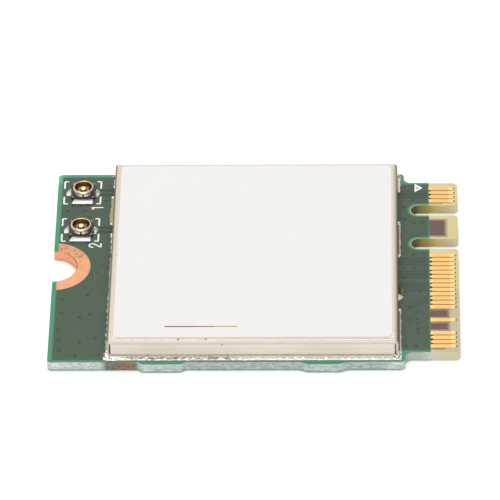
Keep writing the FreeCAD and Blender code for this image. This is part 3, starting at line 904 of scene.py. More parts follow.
def unevenness(x: Array, y: Array, size: float, seed: int) -> Array:
    """Give a smooth random height of about -1 to 1.

    It is the sum of seven plane waves of about one length, each with its own heading and phase.

    Args:
        x: First coordinate.
        y: Second coordinate.
        size: Length of the waves.
        seed: Start of the random draws.

    Returns:
        The heights.
    """
    draw = np.random.default_rng(seed)
    heading = draw.uniform(0.0, FULL_TURN, 7)
    phase = draw.uniform(0.0, FULL_TURN, 7)
    rate = FULL_TURN / (size * draw.uniform(0.7, 1.4, 7))
    x, y = np.broadcast_arrays(x, y)
    along = x[..., None] * np.cos(heading) + y[..., None] * np.sin(heading)
    return np.sin(along * rate + phase).sum(axis=-1) / 2.6


def lump(centre: Point, radii: Point, low: float, height: float, seed: int) -> Surface:
    """Shape a drop of solder: rings that draw in and rise like a flattened, uneven dome.

    The ring at angle t has radius cos(t)^0.6 and height sin(t), and its outline swings by a fifth.

    Args:
        centre: Middle of the drop.
        radii: Half sizes along X and Y.
        low: Height of its foot.
        height: Height of the dome above its foot.
        seed: Start of the random draws.

    Returns:
        The closed drop.
    """
    rise = np.linspace(0.0, 0.47 * np.pi, 9)[:, None]
    angle = np.linspace(0.0, FULL_TURN, 28, endpoint=False)[None, :]
    swing = 1.0 + 0.16 * unevenness(np.cos(angle), np.sin(angle), 1.6, seed)
    radius = np.cos(rise) ** 0.6 * swing
    height_above = low + height * np.sin(rise)
    return loft(ring_points(centre, radii[0] * radius, radii[1] * radius, angle, height_above))


def link_object(name: str, data: bpy.types.ID) -> bpy.types.Object:
    """Make an object of a mesh, lamp or camera in the scene's own collection.

    Args:
        name: Name of the object.
        data: What it shows.

    Returns:
        The new object.
    """
    made = bpy.data.objects.new(name, data)
    bpy.context.scene.collection.objects.link(made)
    return made


def place_piece(
    name: str, surface: Surface, finish: Finishes, replaces: Sequence[str] = (),
    sharp_angle: float = 40.0,
) -> None:
    """Make an object of a surface, dress it and fix it to the card.

    Args:
        name: Name of the piece.
        surface: Its mesh in millimetres.
        finish: Its finish.
        replaces: Nodes that the piece stands for.
        sharp_angle: Degrees from which an edge is shaded sharp.
    """
    mesh = bpy.data.meshes.new(name)
    faces = [face for part in surface.faces for face in part.tolist()]
    mesh.from_pydata((surface.points * MILLIMETRE).tolist(), [], faces)
    for value_name, value in surface.values.items():
        attribute = mesh.attributes.new(value_name, "FLOAT", "POINT")
        attribute.data.foreach_set("value", value.astype(np.float32))
    mesh.materials.append(finish.value.material())
    mesh.polygons.foreach_set("use_smooth", np.ones(len(mesh.polygons), bool))
    mesh.set_sharp_from_angle(angle=np.radians(sharp_angle))
    mesh.update()
    piece = link_object(name, mesh)
    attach(piece, BODY)
    if replaces:
        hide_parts(*replaces)
    LOG.info("%s: %d points, %d faces", name, len(mesh.vertices), len(mesh.polygons))


@dataclass(frozen=True)
class Span:
    """Lowest and highest corner of a node in millimetres."""

    low: Array
    high: Array

    @classmethod
    def of(cls, node: str) -> Span:
        """Measure a node of the frame."""
        low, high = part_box(node)
        return cls(np.array(low) / MILLIMETRE, np.array(high) / MILLIMETRE)


@dataclass
class Board:
    """Lines of the circuit board that its print, copper and solder follow."""

    corner: float = 11.0
    tongue_half: float = 9.925
    slot_middles: tuple[float, ...] = (6.625, 2.625)
    slot_half: float = 0.6
    slot_depth: float = 3.5
    notch_radius: float = 1.75
    land_radius: float = 2.75
    tooling_hole: Place = (10.03, -3.15, 1.0)
    mask_end: float = field(init=False)
    left: float = field(init=False)
    right: float = field(init=False)
    top: float = field(init=False)

    def __post_init__(self) -> None:
        """Take the board's ends and faces from the frame."""
        laminate = Span.of("circuit_board")
        mask = Span.of("solder_mask_top")
        self.left = float(laminate.low[0])
        self.right = float(laminate.high[0])
        self.top = float(mask.high[2])
        self.mask_end = float(mask.high[0])


@dataclass
class MaskedCopper:
    """Copper areas under the solder mask, on the two strips of board beside the shield can."""

    board: Board
    can: Span
    jack_places: tuple[Point, ...]
    border: float = 0.3
    near_border: float = 0.16
    slot_border: float = 0.2
    tongue_border: float = 0.15
    hole_border: float = 0.01
    rise: float = 0.012
    rim: float = 0.09
    step: float = 0.06
    trace_half: float = 0.07
    gap_half: float = 0.19
    antenna_trace_half: float = 0.12
    antenna_gap_half: float = 0.42
    antenna_trace_start: float = 1.25
    end_gap: float = 0.02
    bare_dip: float = 0.6
    ripple: float = 0.0008
    ripple_size: float = 0.9
    ripple_seed: int = 11
    via_radius: float = 0.115
    via_edge: float = 0.1
    via_dip: float = 0.005
    pair_rows: tuple[float, ...] = (8.75, 8.25, 0.75, 0.25, -0.75, -1.25, -2.25, -2.75)
    diagonals: tuple[tuple[Point, Point], ...] = (
        ((12.8, -3.45), (11.2, -4.7)),
        ((12.8, -3.95), (11.2, -5.2)),
        ((11.9, -5.25), (11.2, -6.4)),
    )
    left_vias: tuple[Point, ...] = (
        (-13.85, 7.25), (-13.25, 7.25), (-12.65, 7.3), (-12.85, 6.65), (-14.15, 6.6),
        (-11.35, 7.85), (-14.15, 5.3), (-12.45, 5.85), (-13.7, 2.8), (-12.55, 2.8),
        (-14.3, -7.3), (-14.25, -8.45), (-14.2, -9.7), (-12.7, -8.8), (-13.0, -10.25),
        (-11.25, -10.2), (-11.55, -8.3), (-12.31, -3.35), (-14.19, -3.83), (-13.25, 10.35),
        (-14.18, -5.4), (-12.82, -5.92), (-12.08, -5.58),
    )
    right_vias: tuple[Point, ...] = (
        (11.05, 9.4), (11.75, 9.5), (11.65, 7.85), (10.95, 6.95), (11.05, 5.5), (11.75, 5.1),
        (12.35, 5.15), (11.65, 1.3), (10.95, -0.2), (11.7, -0.2), (10.9, -1.45), (12.15, -2.95),
        (11.4, -4.8), (11.85, -6.2), (11.95, -6.7), (11.95, -7.3), (11.9, -7.7), (11.05, -9.3),
        (11.8, -9.25),
    )

    def build(self) -> None:
        """Place the left and the right area on the mask."""
        place_piece("masked_copper_left", self.left_area(), Finishes.MASKED_COPPER)
        place_piece("masked_copper_right", self.right_area(), Finishes.MASKED_COPPER)

    def left_area(self) -> Surface:
        """Shape the area between the board's left end and the can.

        Each row runs along X from the border, or from the edge of the notch's copper land, to the
        can's wall.

        Returns:
            The area as a thin plate.
        """
        y = self._rows(-self.board.corner + self.near_border, self.board.corner - self.border)
        border = np.full_like(y, self.board.left + self.border)
        land = self.board.left + np.sqrt(np.clip(self.board.land_radius**2 - y**2, 0.0, None))
        start = np.maximum(border, land)
        end = np.full_like(y, float(self.can.low[0]))
        x = self._columns(start, end)
        y = np.broadcast_to(y[:, None], x.shape)
        bare = np.zeros_like(x)
        for jack_x, jack_y in self.jack_places:
            off = np.abs(y - jack_y)
            beyond = self._soft(x - (jack_x + self.antenna_trace_start))
            gap = self._gap(off, self.antenna_trace_half, self.antenna_gap_half)
            bare = np.maximum(bare, gap * beyond)
        return self._plate(x, y, bare, self.left_vias, True)

    def right_area(self) -> Surface:
        """Shape the area between the can and the contacts.

        Each row runs along X from the can's wall, or from the tooling hole's edge, to the end of
        the mask, or to a border round the end of a key slot.

        Returns:
            The area as a thin plate.
        """
        board = self.board
        far = board.tongue_half - self.tongue_border
        y = self._rows(-far, far)
        hole_x, hole_y, hole_radius = board.tooling_hole
        hole_reach = hole_radius + self.hole_border
        hole_edge = hole_x + np.sqrt(np.clip(hole_reach**2 - (y - hole_y) ** 2, 0.0, None))
        start = np.maximum(float(self.can.high[0]), hole_edge)
        end = np.full_like(y, board.mask_end - self.end_gap)
        round_middle = board.right - board.slot_depth + board.slot_half
        reach = board.slot_half + self.slot_border
        for middle in board.slot_middles:
            inside = np.abs(y - middle) < reach
            arc = round_middle - np.sqrt(np.clip(reach**2 - (y - middle) ** 2, 0.0, None))
            end = np.where(inside, arc, end)
        x = self._columns(start, end)
        y = np.broadcast_to(y[:, None], x.shape)
        bare = np.zeros_like(x)
        for row in self.pair_rows:
            bare = np.maximum(bare, self._soft(self.gap_half - np.abs(y - row)))
        for row in self.pair_rows:
            bare = np.minimum(bare, 1.0 - self._soft(self.trace_half - np.abs(y - row)))
        for first, last in self.diagonals:
            off = self._distance(x, y, first, last)
            gap = self._gap(off, self.trace_half, self.trace_half + self.step)
            bare = np.maximum(bare, gap)
        return self._plate(x, y, bare, self.right_vias, False)

    def _rows(self, low: float, high: float) -> Array:
        """Space the rows of a grid by about one step."""
        return np.linspace(low, high, int((high - low) / self.step) + 1)

    def _columns(self, start: Array, end: Array) -> Array:
        """Divide each row from its start to its end into equal steps."""
        count = int((end - start).max() / self.step) + 1
        return start[:, None] + (end - start)[:, None] * np.linspace(0.0, 1.0, count)[None, :]

    def _soft(self, depth: Array) -> Array:
        """Turn a depth inside a shape into a share that rises from 0 to 1 over one step."""
        return np.clip(depth / self.step + 0.5, 0.0, 1.0)

    def _gap(self, off: Array, trace_half: float, gap_half: float) -> Array:
        """Give the share without copper beside a trace, by the distance from its middle line."""
        return self._soft(gap_half - off) * (1.0 - self._soft(trace_half - off))

    @staticmethod
    def _distance(x: Array, y: Array, first: Point, last: Point) -> Array:
        """Measure how far points lie from a straight line between two points.

        Args:
            x: First coordinate of the points.
            y: Second coordinate of the points.
            first: One end of the line.
            last: Its other end.

        Returns:
            The distances.
        """
        span = np.array(last) - np.array(first)
        share = ((x - first[0]) * span[0] + (y - first[1]) * span[1]) / (span @ span)
        share = np.clip(share, 0.0, 1.0)
        return np.hypot(x - first[0] - share * span[0], y - first[1] - share * span[1])

    def _plate(
        self, x: Array, y: Array, bare: Array, vias: Sequence[Point], left_rim: bool
    ) -> Surface:
        """Raise a grid to the height of mask over copper and mark its details.

        The height is the rise, less where copper is bare, at vias and across the rim.

        Args:
            x: First coordinate of the grid's points.
            y: Second coordinate of the grid's points.
            bare: Share of each point that has no copper.
            vias: Middles of the covered vias.
            left_rim: Whether the left side has a rim as the others do.

        Returns:
            The closed plate with the values bare, rim and via.
        """
        middle = np.array(vias)
        away = np.hypot(x[..., None] - middle[:, 0], y[..., None] - middle[:, 1]).min(axis=-1)
        via = np.clip((self.via_radius - away) / self.via_edge + 0.5, 0.0, 1.0)
        from_side = x[:, -1:] - x
        if left_rim:
            from_side = np.minimum(from_side, x - x[:, :1])
        from_end = np.minimum(y - y[:1], y[-1:] - y)
        inner = np.clip(np.minimum(from_side, from_end) / self.rim, 0.0, 1.0)
        ripple = self.ripple * unevenness(x, y, self.ripple_size, self.ripple_seed)
        rise = self.rise * inner * (1.0 - self.bare_dip * bare)
        height = self.board.top + rise - self.via_dip * via + ripple
        top = np.stack([x, y, height], axis=-1)
        return slab(top, self.board.top - self.rise, {"bare": bare, "rim": 1.0 - inner, "via": via})


@dataclass
class ScreenPrint:
    """White print: a bracket at each corner of the jacks, their numbers and a contact arrow."""

    board: Board
    jack_places: tuple[Point, ...]
    line: float = 0.13
    thickness: float = 0.022
    bracket_half: Point = (1.365, 1.34)
    bracket_offset: float = -0.06
    arm: Point = (0.3, 0.85)
    numeral_height: float = 0.92
    numeral_width: float = 0.46
    numeral_offset: Point = (1.55, -1.99)
    numeral_line: float = 0.1235
    bracket_round: float = 0.09
    arrow: tuple[Point, ...] = ((11.8, 9.8), (11.79, 8.77), (12.41, 9.285))
    arrow_round: float = 0.06
    arrow_ease: float = 0.006
    pinhole_radii: Point = (0.1, 0.12)
    pinhole_sink: float = 0.004
    pinhole_height: float = 0.006
    pinhole_seed: int = 5

    def build(self) -> None:
        """Place the print, and the pinhole in the arrow."""
        low = self.board.top
        high = low + self.thickness
        marks = [ribbon(path, self.line, low, high) for path in self._bracket_paths()]
        marks += [ribbon(path, self.numeral_line, low, high) for path in self._numeral_paths()]
        arrow = rounded_path(self.arrow, self.arrow_round, closed=True)
        marks.append(plate(arrow, low, high, self.arrow_ease))
        place_piece("screen_print", joined(marks), Finishes.SILK_INK)
        pinhole = lump(
            tuple(arrow.mean(axis=0)), self.pinhole_radii, high - self.pinhole_sink,
            self.pinhole_height, self.pinhole_seed,
        )
        place_piece("arrow_pinhole", pinhole, Finishes.SCRATCHED_MASK)

    def _bracket_paths(self) -> list[Array]:
        """Draw an angle at each corner of a box round each jack.

        Returns:
            One path for each bracket.
        """
        paths = []
        for jack_x, jack_y in self.jack_places:
            for side_x in (-1.0, 1.0):
                for side_y in (-1.0, 1.0):
                    x = jack_x + self.bracket_offset + side_x * self.bracket_half[0]
                    y = jack_y + side_y * self.bracket_half[1]
                    ends = (x - side_x * self.arm[0], y), (x, y - side_y * self.arm[1])
                    paths.append(rounded_path([ends[0], (x, y), ends[1]], self.bracket_round))
        return paths

    def _numeral_paths(self) -> list[Array]:
        """Draw the numerals 1 and 2, lying on their sides with their heads to the board's end.

        The head of the 2 is an arc of an ellipse, and straight lines follow it.

        Returns:
            Paths of the strokes.
        """
        turn = np.radians(np.linspace(205.0, -40.0, 22))
        head = ring_points((0.5, 0.73), 0.45, 0.24, turn)
        foot = rounded_path([tuple(head[-1]), (0.05, 0.03), (1.0, 0.03)], 0.1)
        strokes = (
            (0, np.array([(0.62, 0.0), (0.6, 1.0)])),
            (0, np.array([(0.6, 0.98), (0.1, 0.76)])),
            (1, np.concatenate([head, foot[1:]])),
        )
        paths = []
        for jack, stroke in strokes:
            jack_x, jack_y = self.jack_places[jack]
            x = jack_x + self.numeral_offset[0] - stroke[:, 1] * self.numeral_height
            y = jack_y + self.numeral_offset[1] + (stroke[:, 0] - 0.2) * self.numeral_width
            paths.append(np.column_stack([x, y]))
        return paths


@dataclass
class EdgeDetails:
    """Marks of the board's edges: slot rims, plating line ends and the notch's copper wall."""

    board: Board
    rim_width: float = 0.06
    mark_size: Point = (0.08, 0.2)
    mark_gap: float = 0.05
    wall_thickness: float = 0.006
    wall_angle: float = 90.0
    tarnish_width: float = 0.06
    tarnish_angles: Point = (-8.0, 62.0)
    sink: float = 0.02
    rim_rise: float = 0.005
    tarnish_rise: float = 0.004
    mark_sink: float = 0.01
    mark_rise: float = 0.006
    mark_slant: float = 0.015
    contact_pitch: float = 0.5
    contact_rows: tuple[tuple[float, int], ...] = ((9.25, 4), (1.25, 13), (-6.25, 1), (-7.75, 4))

    def build(self) -> None:
        """Place the rims, the marks and the notch's wall."""
        place_piece("slot_rims", joined(self._rims()), Finishes.PALE_RIM)
        marks = joined(self._marks())
        place_piece("plating_line_ends", marks, Finishes.ETCHED_COPPER)
        place_piece("notch_wall", self._notch_wall(), Finishes.COPPER)
        place_piece("notch_tarnish", self._notch_tarnish(), Finishes.ETCHED_COPPER)

    def _rims(self) -> list[Surface]:
        """Draw a pale line round each key slot: along one side, round its end and back.

        Returns:
            One strip for each slot.
        """
        board = self.board
        radius = board.slot_half + self.rim_width / 2.0
        middle_x = board.right - board.slot_depth + board.slot_half
        turn = np.radians(np.linspace(90.0, 270.0, 40))
        rims = []
        for middle in board.slot_middles:
            arc = ring_points((middle_x, middle), radius, radius, turn)
            ends = np.array([(board.mask_end, middle + radius), (board.mask_end, middle - radius)])
            path = np.concatenate([ends[:1], arc, ends[1:]])
            rims.append(self._line(path, self.rim_width, self.rim_rise))
        return rims

    def _line(self, path: Array, width: float, rise: float) -> Surface:
        """Lay a strip along a path, from under the board's top face to a little above it."""
        return ribbon(path, width, self.board.top - self.sink, self.board.top + rise)

    def _marks(self) -> list[Surface]:
        """Put a short dark mark past the end of each contact.

        Returns:
            One mark for each contact.
        """
        contacts = Span.of("edge_contacts_top")
        laminate_top = float(Span.of("circuit_board").high[2])
        x = float(contacts.high[0]) + self.mark_gap + self.mark_size[0] / 2.0
        half = self.mark_size[1] / 2.0
        levels = laminate_top - self.mark_sink, laminate_top + self.mark_rise
        marks = []
        for first, count in self.contact_rows:
            for y in first - self.contact_pitch * np.arange(count):
                path = np.array([(x - self.mark_slant, y - half), (x + self.mark_slant, y + half)])
                marks.append(ribbon(path, self.mark_size[0], *levels))
        return marks

    def _notch_tarnish(self) -> Surface:
        """Draw the dark line on the land along part of the notch's edge.

        Returns:
            The strip.
        """
        board = self.board
        turn = np.radians(np.linspace(*self.tarnish_angles, 30))
        radius = board.notch_radius + self.tarnish_width / 2.0
        path = ring_points((board.left, 0.0), radius, radius, turn)
        return self._line(path, self.tarnish_width, self.tarnish_rise)

    def _notch_wall(self) -> Surface:
        """Line the half-round notch with copper: a thin upright section carried round its arc.

        Returns:
            The lining.
        """
        board = self.board
        turn = np.radians(np.linspace(-self.wall_angle, self.wall_angle, 64))[:, None]
        inner = board.notch_radius - self.wall_thickness
        radius = np.array([[board.notch_radius, inner, inner, board.notch_radius]])
        height = np.array([[0.0, 0.0, board.top, board.top]])
        return loft(ring_points((board.left, 0.0), radius, radius, turn, height))


@dataclass(frozen=True)
class Drop:
    """Drop of solder at a corner of the can, with its middle counted from that corner."""

    right: bool
    far: bool
    offset: Point
    radii: Point
    height: float
    seed: int


@dataclass
class ShieldSolder:
    """Solder round the foot of the shield can: rough runs, end drops, corner lumps and flux."""

    board: Board
    can: Span
    near_reach: float = 0.58
    far_reach: float = 0.27
    left_reach: float = 0.15
    right_reach: float = 0.22
    overrun: float = 0.27
    left_sway: float = 0.05
    sway: float = 0.018
    long_roughness: float = 0.02
    side_roughness: float = 0.007
    climb: float = 0.012
    climb_power: float = 1.7
    shoulder: float = 0.03
    toe: float = 0.016
    foot_sink: float = 0.025
    run_step: float = 0.05
    taper: float = 0.12
    toe_wave: float = 0.7
    lump_waves: Point = (0.42, 0.17)
    fine_share: float = 0.6
    flux_sway: float = 0.03
    flux_edge: float = 0.08
    long_seeds: tuple[int, int] = (21, 22)
    side_seed: int = 30
    near_flux: float = 0.09
    right_flux: float = 0.11
    left_runs: tuple[Point, ...] = ((9.38, 10.45), (-10.3, 3.76))
    right_runs: tuple[Point, ...] = ((8.8, 10.45), (1.02, 5.1), (-10.3, -5.12))
    end_drop_offset: float = 0.11
    end_drop_radii: Point = (0.13, 0.15)
    end_drop_height: float = 0.12
    end_drop_inset: float = 0.06
    end_drop_limit: float = 9.6
    flux_run: Point = (4.93, 8.21)
    flux_run_reach: float = 0.28
    flux_run_roughness: float = 0.012
    flux_run_seed: int = 51
    flux_drop_offset: float = 0.16
    flux_drop_radii: Point = (0.15, 0.13)
    flux_drop_inset: float = 0.05
    flux_drop_seed: int = 52
    slit_width: float = 0.13
    slit_top: float = 1.84
    slit_front: float = 0.4
    slit_ease: float = 0.004
    slit_gap: float = 0.02
    sheet: float = 0.15
    corner_drops: tuple[Drop, ...] = (
        Drop(False, False, (0.06, -0.14), (0.3, 0.36), 0.24, 41),
        Drop(False, False, (-0.1, -0.34), (0.22, 0.2), 0.12, 42),
        Drop(False, False, (0.54, -0.3), (0.55, 0.26), 0.15, 43),
        Drop(False, False, (1.34, -0.34), (0.6, 0.2), 0.1, 47),
        Drop(True, False, (-0.15, -0.22), (0.26, 0.3), 0.2, 44),
        Drop(True, False, (0.0, -0.04), (0.14, 0.24), 0.3, 46),
        Drop(False, True, (0.12, 0.07), (0.26, 0.22), 0.22, 48),
        Drop(True, True, (-0.12, 0.07), (0.3, 0.22), 0.2, 49),
    )

    def build(self) -> None:
        """Place the runs with their drops, the run that flux covers and the film in the slits."""
        runs = [*self._long_runs(), *self._side_runs(), *self._corner_lumps()]
        place_piece(
            "shield_solder_runs", joined(runs), Finishes.SOLDER, ["shield_solder"],
            SOLDER_ANGLE,
        )
        left = self.can.low[0]
        low, high = self.flux_run
        covered = self._run(
            (left, low), (left, high), (-1.0, 0.0), self.flux_run_reach, self.flux_run_roughness,
            self.flux_run_seed, self.left_sway,
        )
        place_piece(
            "flux_covered_run", covered, Finishes.FLUX, sharp_angle=SOLDER_ANGLE
        )
        dots = [
            lump(
                (left - self.flux_drop_offset, y), self.flux_drop_radii, self.board.top,
                self.end_drop_height, self.flux_drop_seed,
            )
            for y in (low + self.flux_drop_inset, high - self.flux_drop_inset)
        ]
        place_piece(
            "flux_run_ends", joined(dots), Finishes.SOLDER, sharp_angle=SOLDER_ANGLE
        )
        place_piece("slit_fill", joined(self._slit_films()), Finishes.SLIT_FILL)

    def _long_runs(self) -> list[Surface]:
        """Lay the runs along the can's near and far wall.

        Returns:
            The closed runs.
        """
        left, near, _ = self.can.low
        right, far, _ = self.can.high
        return [
            self._run(
                (left - self.overrun, wall), (right + self.overrun, wall), (0.0, outward),
                reach, self.long_roughness, seed, self.sway, flux,
            )
            for wall, outward, reach, seed, flux in (
                (near, -1.0, self.near_reach, self.long_seeds[0], self.near_flux),
                (far, 1.0, self.far_reach, self.long_seeds[1], 0.0),
            )
        ]

    def _side_runs(self) -> list[Surface]:
        """Lay the shorter runs along the can's left and right wall, with a drop at each end.

        Returns:
            The closed runs and drops.
        """
        left, right = self.can.low[0], self.can.high[0]
        runs = []
        for wall, outward, spans, reach, sway, flux in (
            (left, -1.0, self.left_runs, self.left_reach, self.left_sway, 0.0),
            (right, 1.0, self.right_runs, self.right_reach, self.sway, self.right_flux),
        ):
            for index, (low, high) in enumerate(spans):
                seed = self.side_seed + 5 * index + int(outward)
                runs.append(self._run(
                    (wall, low), (wall, high), (outward, 0.0), reach, self.side_roughness, seed,
                    sway, flux,
                ))
                runs += [
                    lump(
                        (wall + outward * self.end_drop_offset, y), self.end_drop_radii,
                        self.board.top, self.end_drop_height, seed,
                    )
                    for y in (low + self.end_drop_inset, high - self.end_drop_inset)
                    if abs(y) < self.end_drop_limit
                ]
        return runs

    def _corner_lumps(self) -> list[Surface]:
        """Heap solder at the can's corners, higher at the near left one.

        Returns:
            The closed lumps.
        """
        lumps = []
        for drop in self.corner_drops:
            x = (self.can.high if drop.right else self.can.low)[0] + drop.offset[0]
            y = (self.can.high if drop.far else self.can.low)[1] + drop.offset[1]
            lumps.append(lump((x, y), drop.radii, self.board.top, drop.height, drop.seed))
        return lumps

    def _slit_films(self) -> list[Surface]:
        """Fill the corner slits of the near and the far wall with a film behind the outer face.

        Returns:
            One upright plate for each slit.
        """
        films = []
        starts = (self.can.low[0] + self.sheet, self.can.high[0] - self.sheet - self.slit_width)
        for wall, inward in ((self.can.low[1], 1.0), (self.can.high[1], -1.0)):
            for start in starts:
                back = wall + inward * self.sheet
                front = wall + inward * self.slit_front * self.sheet
                end = start + self.slit_width
                outline = np.array([(start, front), (end, front), (end, back), (start, back)])
                low = self.can.low[2] + self.slit_gap
                films.append(plate(outline, low, self.slit_top, self.slit_ease))
        return films

    def _run(
        self, start: Point, end: Point, outward: Point, reach: float, roughness: float, seed: int,
        sway: float, flux_width: float = 0.0,
    ) -> Surface:
        """Lay a run of solder along a wall.

        At share s of its reach the top is climb (1-s)^1.7 and shoulder (1-s^4) above the toe, plus
        lumps that fade at the wall and the toe. The reach itself swings along the run and draws in
        at both ends.

        Args:
            start: Where the run starts on the wall.
            end: Where it ends.
            outward: Direction away from the wall.
            reach: Width of the run on the board.
            roughness: Height of its lumps.
            seed: Start of the random draws.
            sway: How far its toe swings out and in.
            flux_width: Width of the flux that covers the run beside the wall.

        Returns:
            The closed run, with the value flux.
        """
        first = np.array(start, float)
        span = np.array(end, float) - first
        length = float(np.linalg.norm(span))
        away = np.array(outward, float)
        along = np.linspace(0.0, length, int(length / self.run_step) + 2)[:, None]
        share = np.linspace(0.0, 1.0, 15)[None, :]
        ends = np.sqrt(np.clip(np.minimum(along, length - along) / self.taper, 0.05, 1.0))
        swing = 1.0 + sway / reach * unevenness(along, 0.0 * along, self.toe_wave, seed)
        width = reach * ends * swing * share
        coarse = unevenness(along, share * reach, self.lump_waves[0], seed + 1)
        fine = unevenness(along, share * reach, self.lump_waves[1], seed + 2)
        lumps = (coarse + self.fine_share * fine) * 4.0 * share * (1.0 - share)
        rise = (self.climb * (1.0 - share) ** self.climb_power + roughness * lumps) * ends
        shoulder = self.shoulder * (1.0 - share**4)
        height = self.board.top + self.toe + np.maximum(rise, 0.0) + shoulder
        flat = first + span / length * along[..., None] + away * width[..., None]
        crest = np.concatenate([flat, height[..., None]], axis=-1)
        foot = crest[:, [-1, 0]].copy()
        foot[..., 2] = self.board.top - self.foot_sink
        depth = (flux_width + self.flux_sway * coarse - width) / self.flux_edge
        flux = np.clip(depth + 0.5, 0.0, 1.0) * (flux_width > 0.0)
        run = loft(np.concatenate([crest, foot], axis=1))
        run.values["flux"] = np.concatenate([flux, flux[:, [-1, 0]]], axis=1).reshape(-1)
        return run


# Directions from a jack's axis, in turns from +X.
FRONT = 0.75
BACK = 0.25


@dataclass
class AntennaJack:
    """Round antenna jack: a gold ring on a plastic base, a domed pin and soldered tails."""

    number: int
    centre: Point
    board: Board
    radius: float = 0.775
    bore: float = 0.615
    rim_round: float = 0.04
    bead: Point = (0.09, 0.13)
    waist_depth: float = 0.1
    waist: Point = (1.19, 1.22)
    seam_depth: float = 0.06
    seam_half: float = 0.06
    skirt_inset: float = 0.05
    funnel_rise: float = 0.12
    sheen_half: float = 1.0
    pale_half: float = 0.64
    dark_seam_half: float = 0.1
    dark_side_half: float = 1.15
    hollow_half: float = 0.45
    pin_radius: float = 0.23
    pin_dome: float = 0.07
    pin_top: float = 1.31
    rim_width: float = 0.13
    foot_reach: float = 0.94
    foot_overlap: float = 0.1
    foot_half: float = 0.7
    left_foot_half: float = 0.2
    signal_foot_half: float = 0.12
    foot_thickness: float = 0.08
    foot_round: float = 0.05
    foot_ease: float = 0.01
    post_offset: float = 0.76
    post_radii: Point = (0.09, 0.1)
    post_sink: float = 0.03
    post_height: float = 0.06
    post_seed: int = 70
    tail_seed: int = 62
    tail_sink: float = 0.02
    tail_round: float = 0.06
    tail_ease: float = 0.035
    tail_outlines: tuple[tuple[float, tuple[Point, ...]], ...] = (
        (0.95, ((-0.86, -1.48), (0.76, -1.48), (0.76, -0.9), (-0.66, -0.9))),
        (0.87, ((-0.82, 0.9), (0.8, 0.9), (0.8, 1.12), (-0.82, 1.12))),
        (0.94, ((-1.28, -0.48), (-0.88, -0.48), (-0.88, 0.24), (-1.06, 0.24), (-1.29, -0.1))),
        (0.87, ((0.88, -0.5), (1.18, -0.5), (1.2, -0.05), (1.08, 0.22), (0.88, 0.22))),
    )
    tail_drops: tuple[tuple[Point, Point, float], ...] = (
        ((-0.98, 0.14), (0.13, 0.16), 0.22),
        ((1.0, 0.14), (0.13, 0.15), 0.18),
    )
    hook_middle: Point = (1.08, -0.16)
    hook_radii: Point = (0.14, 0.27)
    hook_width: float = 0.12
    hook_top: float = 0.94
    seat: float = field(init=False)
    base_top: float = field(init=False)
    top: float = field(init=False)

    def __post_init__(self) -> None:
        """Take the jack's levels from the frame."""
        base = Span.of(f"antenna_jack_{self.number}_insulator")
        self.seat = float(base.low[2])
        self.base_top = float(base.high[2])
        self.top = float(Span.of(f"antenna_jack_{self.number}_shell").high[2])

    def build(self) -> list[Surface]:
        """Place the ring, the pin and the posts of the base.

        Returns:
            The solder of this jack's tails, to be placed with the other jack's.
        """
        prefix = f"antenna_jack_{self.number}"
        ring = joined([self._ring(), *self._feet()])
        place_piece(f"{prefix}_ring", ring, Finishes.JACK_GOLD, [f"{prefix}_shell"])
        posts = joined(self._posts())
        place_piece(f"{prefix}_posts", posts, Finishes.HIGHLIT_JACK_PLASTIC)
        pin = joined([self._pin(), self._signal_foot()])
        place_piece(f"{prefix}_pin", pin, Finishes.JACK_GOLD, [f"{prefix}_contact"])
        return self._tails()

    def _ring(self) -> Surface:
        """Turn the ring: a skirt, a flared foot, a narrow waist, a round bead and a rim.

        The foot draws in like a cone from the base to the waist. The bead is a quarter of an
        ellipse that ends on the rim, and the rim's inner edge is a quarter circle. Inside it the
        wall runs in like a funnel. A seam is pressed into the foot at the front, with the depth of
        a bell curve. The values paint the photo's light on it: bright and pale at the front, dark
        on the flanks, in the groove and inside.

        Returns:
            The ring, with the values tarnish, sheen, pale and depth.
        """
        parts = self._section()
        share = np.linspace(0.0, 1.0, len(parts["foot"]))
        bend = np.linspace(0.0, np.pi / 2.0, len(parts["bead"]))

        def spread(**levels: object) -> Array:
            """Give a value along the section, which is 0 on the parts that are not named."""
            return np.concatenate([
                np.broadcast_to(levels.get(name, 0.0), len(part)) for name, part in parts.items()
            ])

        pressed = spread(skirt=(0.0, 1.0), foot=share < 1.0)
        shade = spread(
            foot=np.where(share < 0.9, 0.0, 0.7), waist=0.5,
            inner=np.clip((bend - 1.0) / 0.5, 0.0, 0.6), funnel=0.9,
        )
        groove = spread(foot=np.where(share < 1.0, 0.0, 0.9), waist=0.8)
        inside = spread(
            skirt=(1.0, 0.0), inner=np.clip((bend - 1.1) / 0.4, 0.0, 1.0), funnel=1.0
        )
        section = np.concatenate(list(parts.values()))
        ring = turned(
            section, self.centre,
            lambda angle: -self.seam_depth * self._bell(angle, FRONT, self.seam_half) * pressed,
        )
        steps = len(ring.points) // len(section)
        angle = np.linspace(0.0, FULL_TURN, steps, endpoint=False)[:, None]
        facing = self._bell(angle, FRONT, self.pale_half, 4)
        dark_seam = self._bell(angle, FRONT, self.dark_seam_half) * pressed
        dark_sides = 0.8 * (1.0 - self._bell(angle, FRONT, self.dark_side_half)) * pressed
        hollow = inside * (1.0 - self._bell(angle, BACK, self.hollow_half))
        flank = 0.95 * (1.0 - facing) * pressed
        # The values paint light on the ring: a highlight on the bead, a pale reflection on the
        # front of the foot, shade with some tarnish, and dark shade inside, on the flanks and in
        # the groove.
        values = {
            "tarnish": np.maximum(shade, np.maximum(dark_seam, dark_sides)),
            "sheen": spread(bead=np.cos(bend)) * self._bell(angle, FRONT, self.sheen_half),
            "pale": spread(foot=share < 0.9) * facing * (1.0 - dark_seam),
            "depth": np.maximum(hollow, np.maximum(flank, groove)),
        }
        ring.values.update({name: value.reshape(-1) for name, value in values.items()})
        return ring

    def _bell(self, angle: Array, middle: float, half: float, power: int = 2) -> Array:
        """Give a bell curve round the ring, by its middle in turns and its half width."""
        return np.exp(-((self.radius * (angle - middle * FULL_TURN) / half) ** power))

